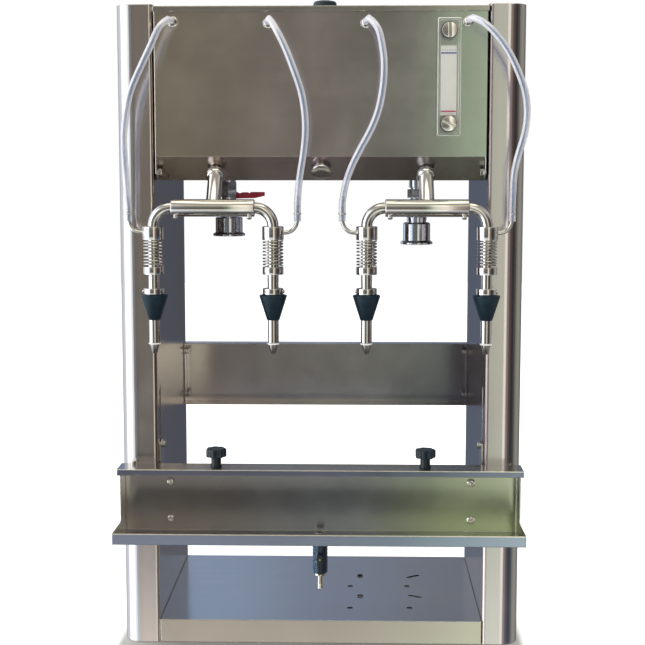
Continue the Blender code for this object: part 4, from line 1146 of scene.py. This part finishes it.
def studio():
    """A soft studio as a sky: windows to the sides, a light ceiling and a dim room in front."""
    world = bpy.data.worlds.new("studio")
    bpy.context.scene.world = world
    world.use_nodes = True
    world.node_tree.nodes.clear()
    n = Nodes(world.node_tree)

    def ladder(value, stops):
        """The colours and shares of the stops, each with its place from 0 to 1."""
        ramp = n.node("ValToRGB", {0: value})
        elements = ramp.color_ramp.elements
        while len(elements) < len(stops):
            elements.new(1.0)
        for e, (place, colour) in zip(elements, stops):
            e.position = place
            e.color = colour
        return ramp.outputs

    def by_height(stops):
        return [((sin(radians(e)) + 1) / 2, (*c, 1)) for e, c in stops]

    x, y, z = n.xyz(n.node("TexCoord").outputs["Generated"])
    azimuth = n.maths("ARCTAN2", x, n.maths("MULTIPLY", y, -1.0))
    turn = n.ramp(azimuth, -pi, pi, shape="LINEAR")
    height = n.ramp(z, -1.0, 1.0, shape="LINEAR")
    sides, share = ladder(turn, [((a + 180) / 360, (*c, m)) for a, c, m in ROUND])
    third = ladder(height, by_height([(e, (v / 3, v / 3, v / 3)) for e, v in HEIGHT]))[0]
    factor = n.mix(share, 1.0, n.maths("MULTIPLY", third, 3.0))
    ahead = ladder(height, by_height(ABOVE))[0]
    after = ladder(height, by_height(ABOVE_BEHIND))[0]
    after = n.vectors("MULTIPLY", after, n.ramp(x, -0.16, 0.16, 1.5, 0.62, "LINEAR"))
    ends = n.blend(n.ramp(y, -0.1, 0.5), ahead, after)
    level = n.ramp(n.maths("ABSOLUTE", z), 0.80, 0.45)
    walls = n.vectors("MULTIPLY", sides, n.maths("MULTIPLY", level, factor))
    sky = n.node("Background", {0: n.vectors("ADD", walls, ends), 1: 1.0})
    n.node("OutputWorld", {0: sky.outputs[0]})


studio()


def plain_shader(name, shader, **inputs):
    m = bpy.data.materials.new(name)
    m.use_nodes = True
    tree = m.node_tree
    n = tree.nodes.new(shader)
    for k, v in inputs.items():
        n.inputs[k].default_value = v
    tree.links.new(n.outputs[0], tree.nodes["Material Output"].inputs["Surface"])
    return m


backdrop_mesh = turned([(12 * cos(radians(a)), 12 * sin(radians(a)))
                         for a in (-89, -70, -45, -20, 0, 20, 45, 70, 89)])
backdrop = bpy.data.objects.new("backdrop", backdrop_mesh)
bpy.context.scene.collection.objects.link(backdrop)
backdrop_mesh.materials.append(
    plain_shader("backdrop_white", "ShaderNodeEmission", Color=(1, 1, 1, 1), Strength=1.0)
)
for ray in ("diffuse", "glossy", "shadow", "volume_scatter"):
    setattr(backdrop, f"visible_{ray}", False)


def pale_floor():
    """A white floor that glows evenly, except under the machine and for a few millimetres round it,
    where its glow is taken away as a painted contact shadow.
    """
    f = Finish("floor_white", Base_Color=(0.6, 0.6, 0.6, 1), Roughness=1.0, Specular_IOR_Level=0.0)
    half = (cad_box[1] - cad_box[0]) / 2
    middle = (cad_box[0] + cad_box[1]) / 2
    apart = f.vectors("ABSOLUTE", f.vectors("SUBTRACT", f.spot, (middle.x, middle.y, 0)))
    outside = f.vectors("MAXIMUM", f.vectors("SUBTRACT", apart, (half.x, half.y, 0)))
    f.set("Emission Color", (1, 1, 1, 1))
    # painted contact shadow: no glow under the machine, rising to full over 14 mm round it
    f.set("Emission Strength", f.ramp(f.vectors("LENGTH", outside), 0.0, 0.014, 0.0, 0.74))
    return f.material


floor_mesh = turned([(6.0, -0.020), (6.0, -0.0004), (2.0, -0.0004), (0.6, -0.0004)])
floor = bpy.data.objects.new("floor", floor_mesh)
bpy.context.scene.collection.objects.link(floor)
floor_mesh.materials.append(pale_floor())
floor.visible_glossy = False


def softbox(name, at, towards, size, watts, colour):
    data = bpy.data.lights.new(name, "AREA")
    data.shape = "RECTANGLE"
    data.size, data.size_y = size
    data.energy = watts
    data.color = colour
    o = bpy.data.objects.new(name, data)
    bpy.context.scene.collection.objects.link(o)
    o.location = at
    o.rotation_euler = (Vector(towards) - Vector(at)).to_track_quat("-Z", "Y").to_euler()
    return o


top = softbox("top_light", (0.0, -0.4, 3.2), (0, 0, 0.3), (3.4, 3.4), 70, (1.0, 0.99, 0.97))
top.visible_glossy = False
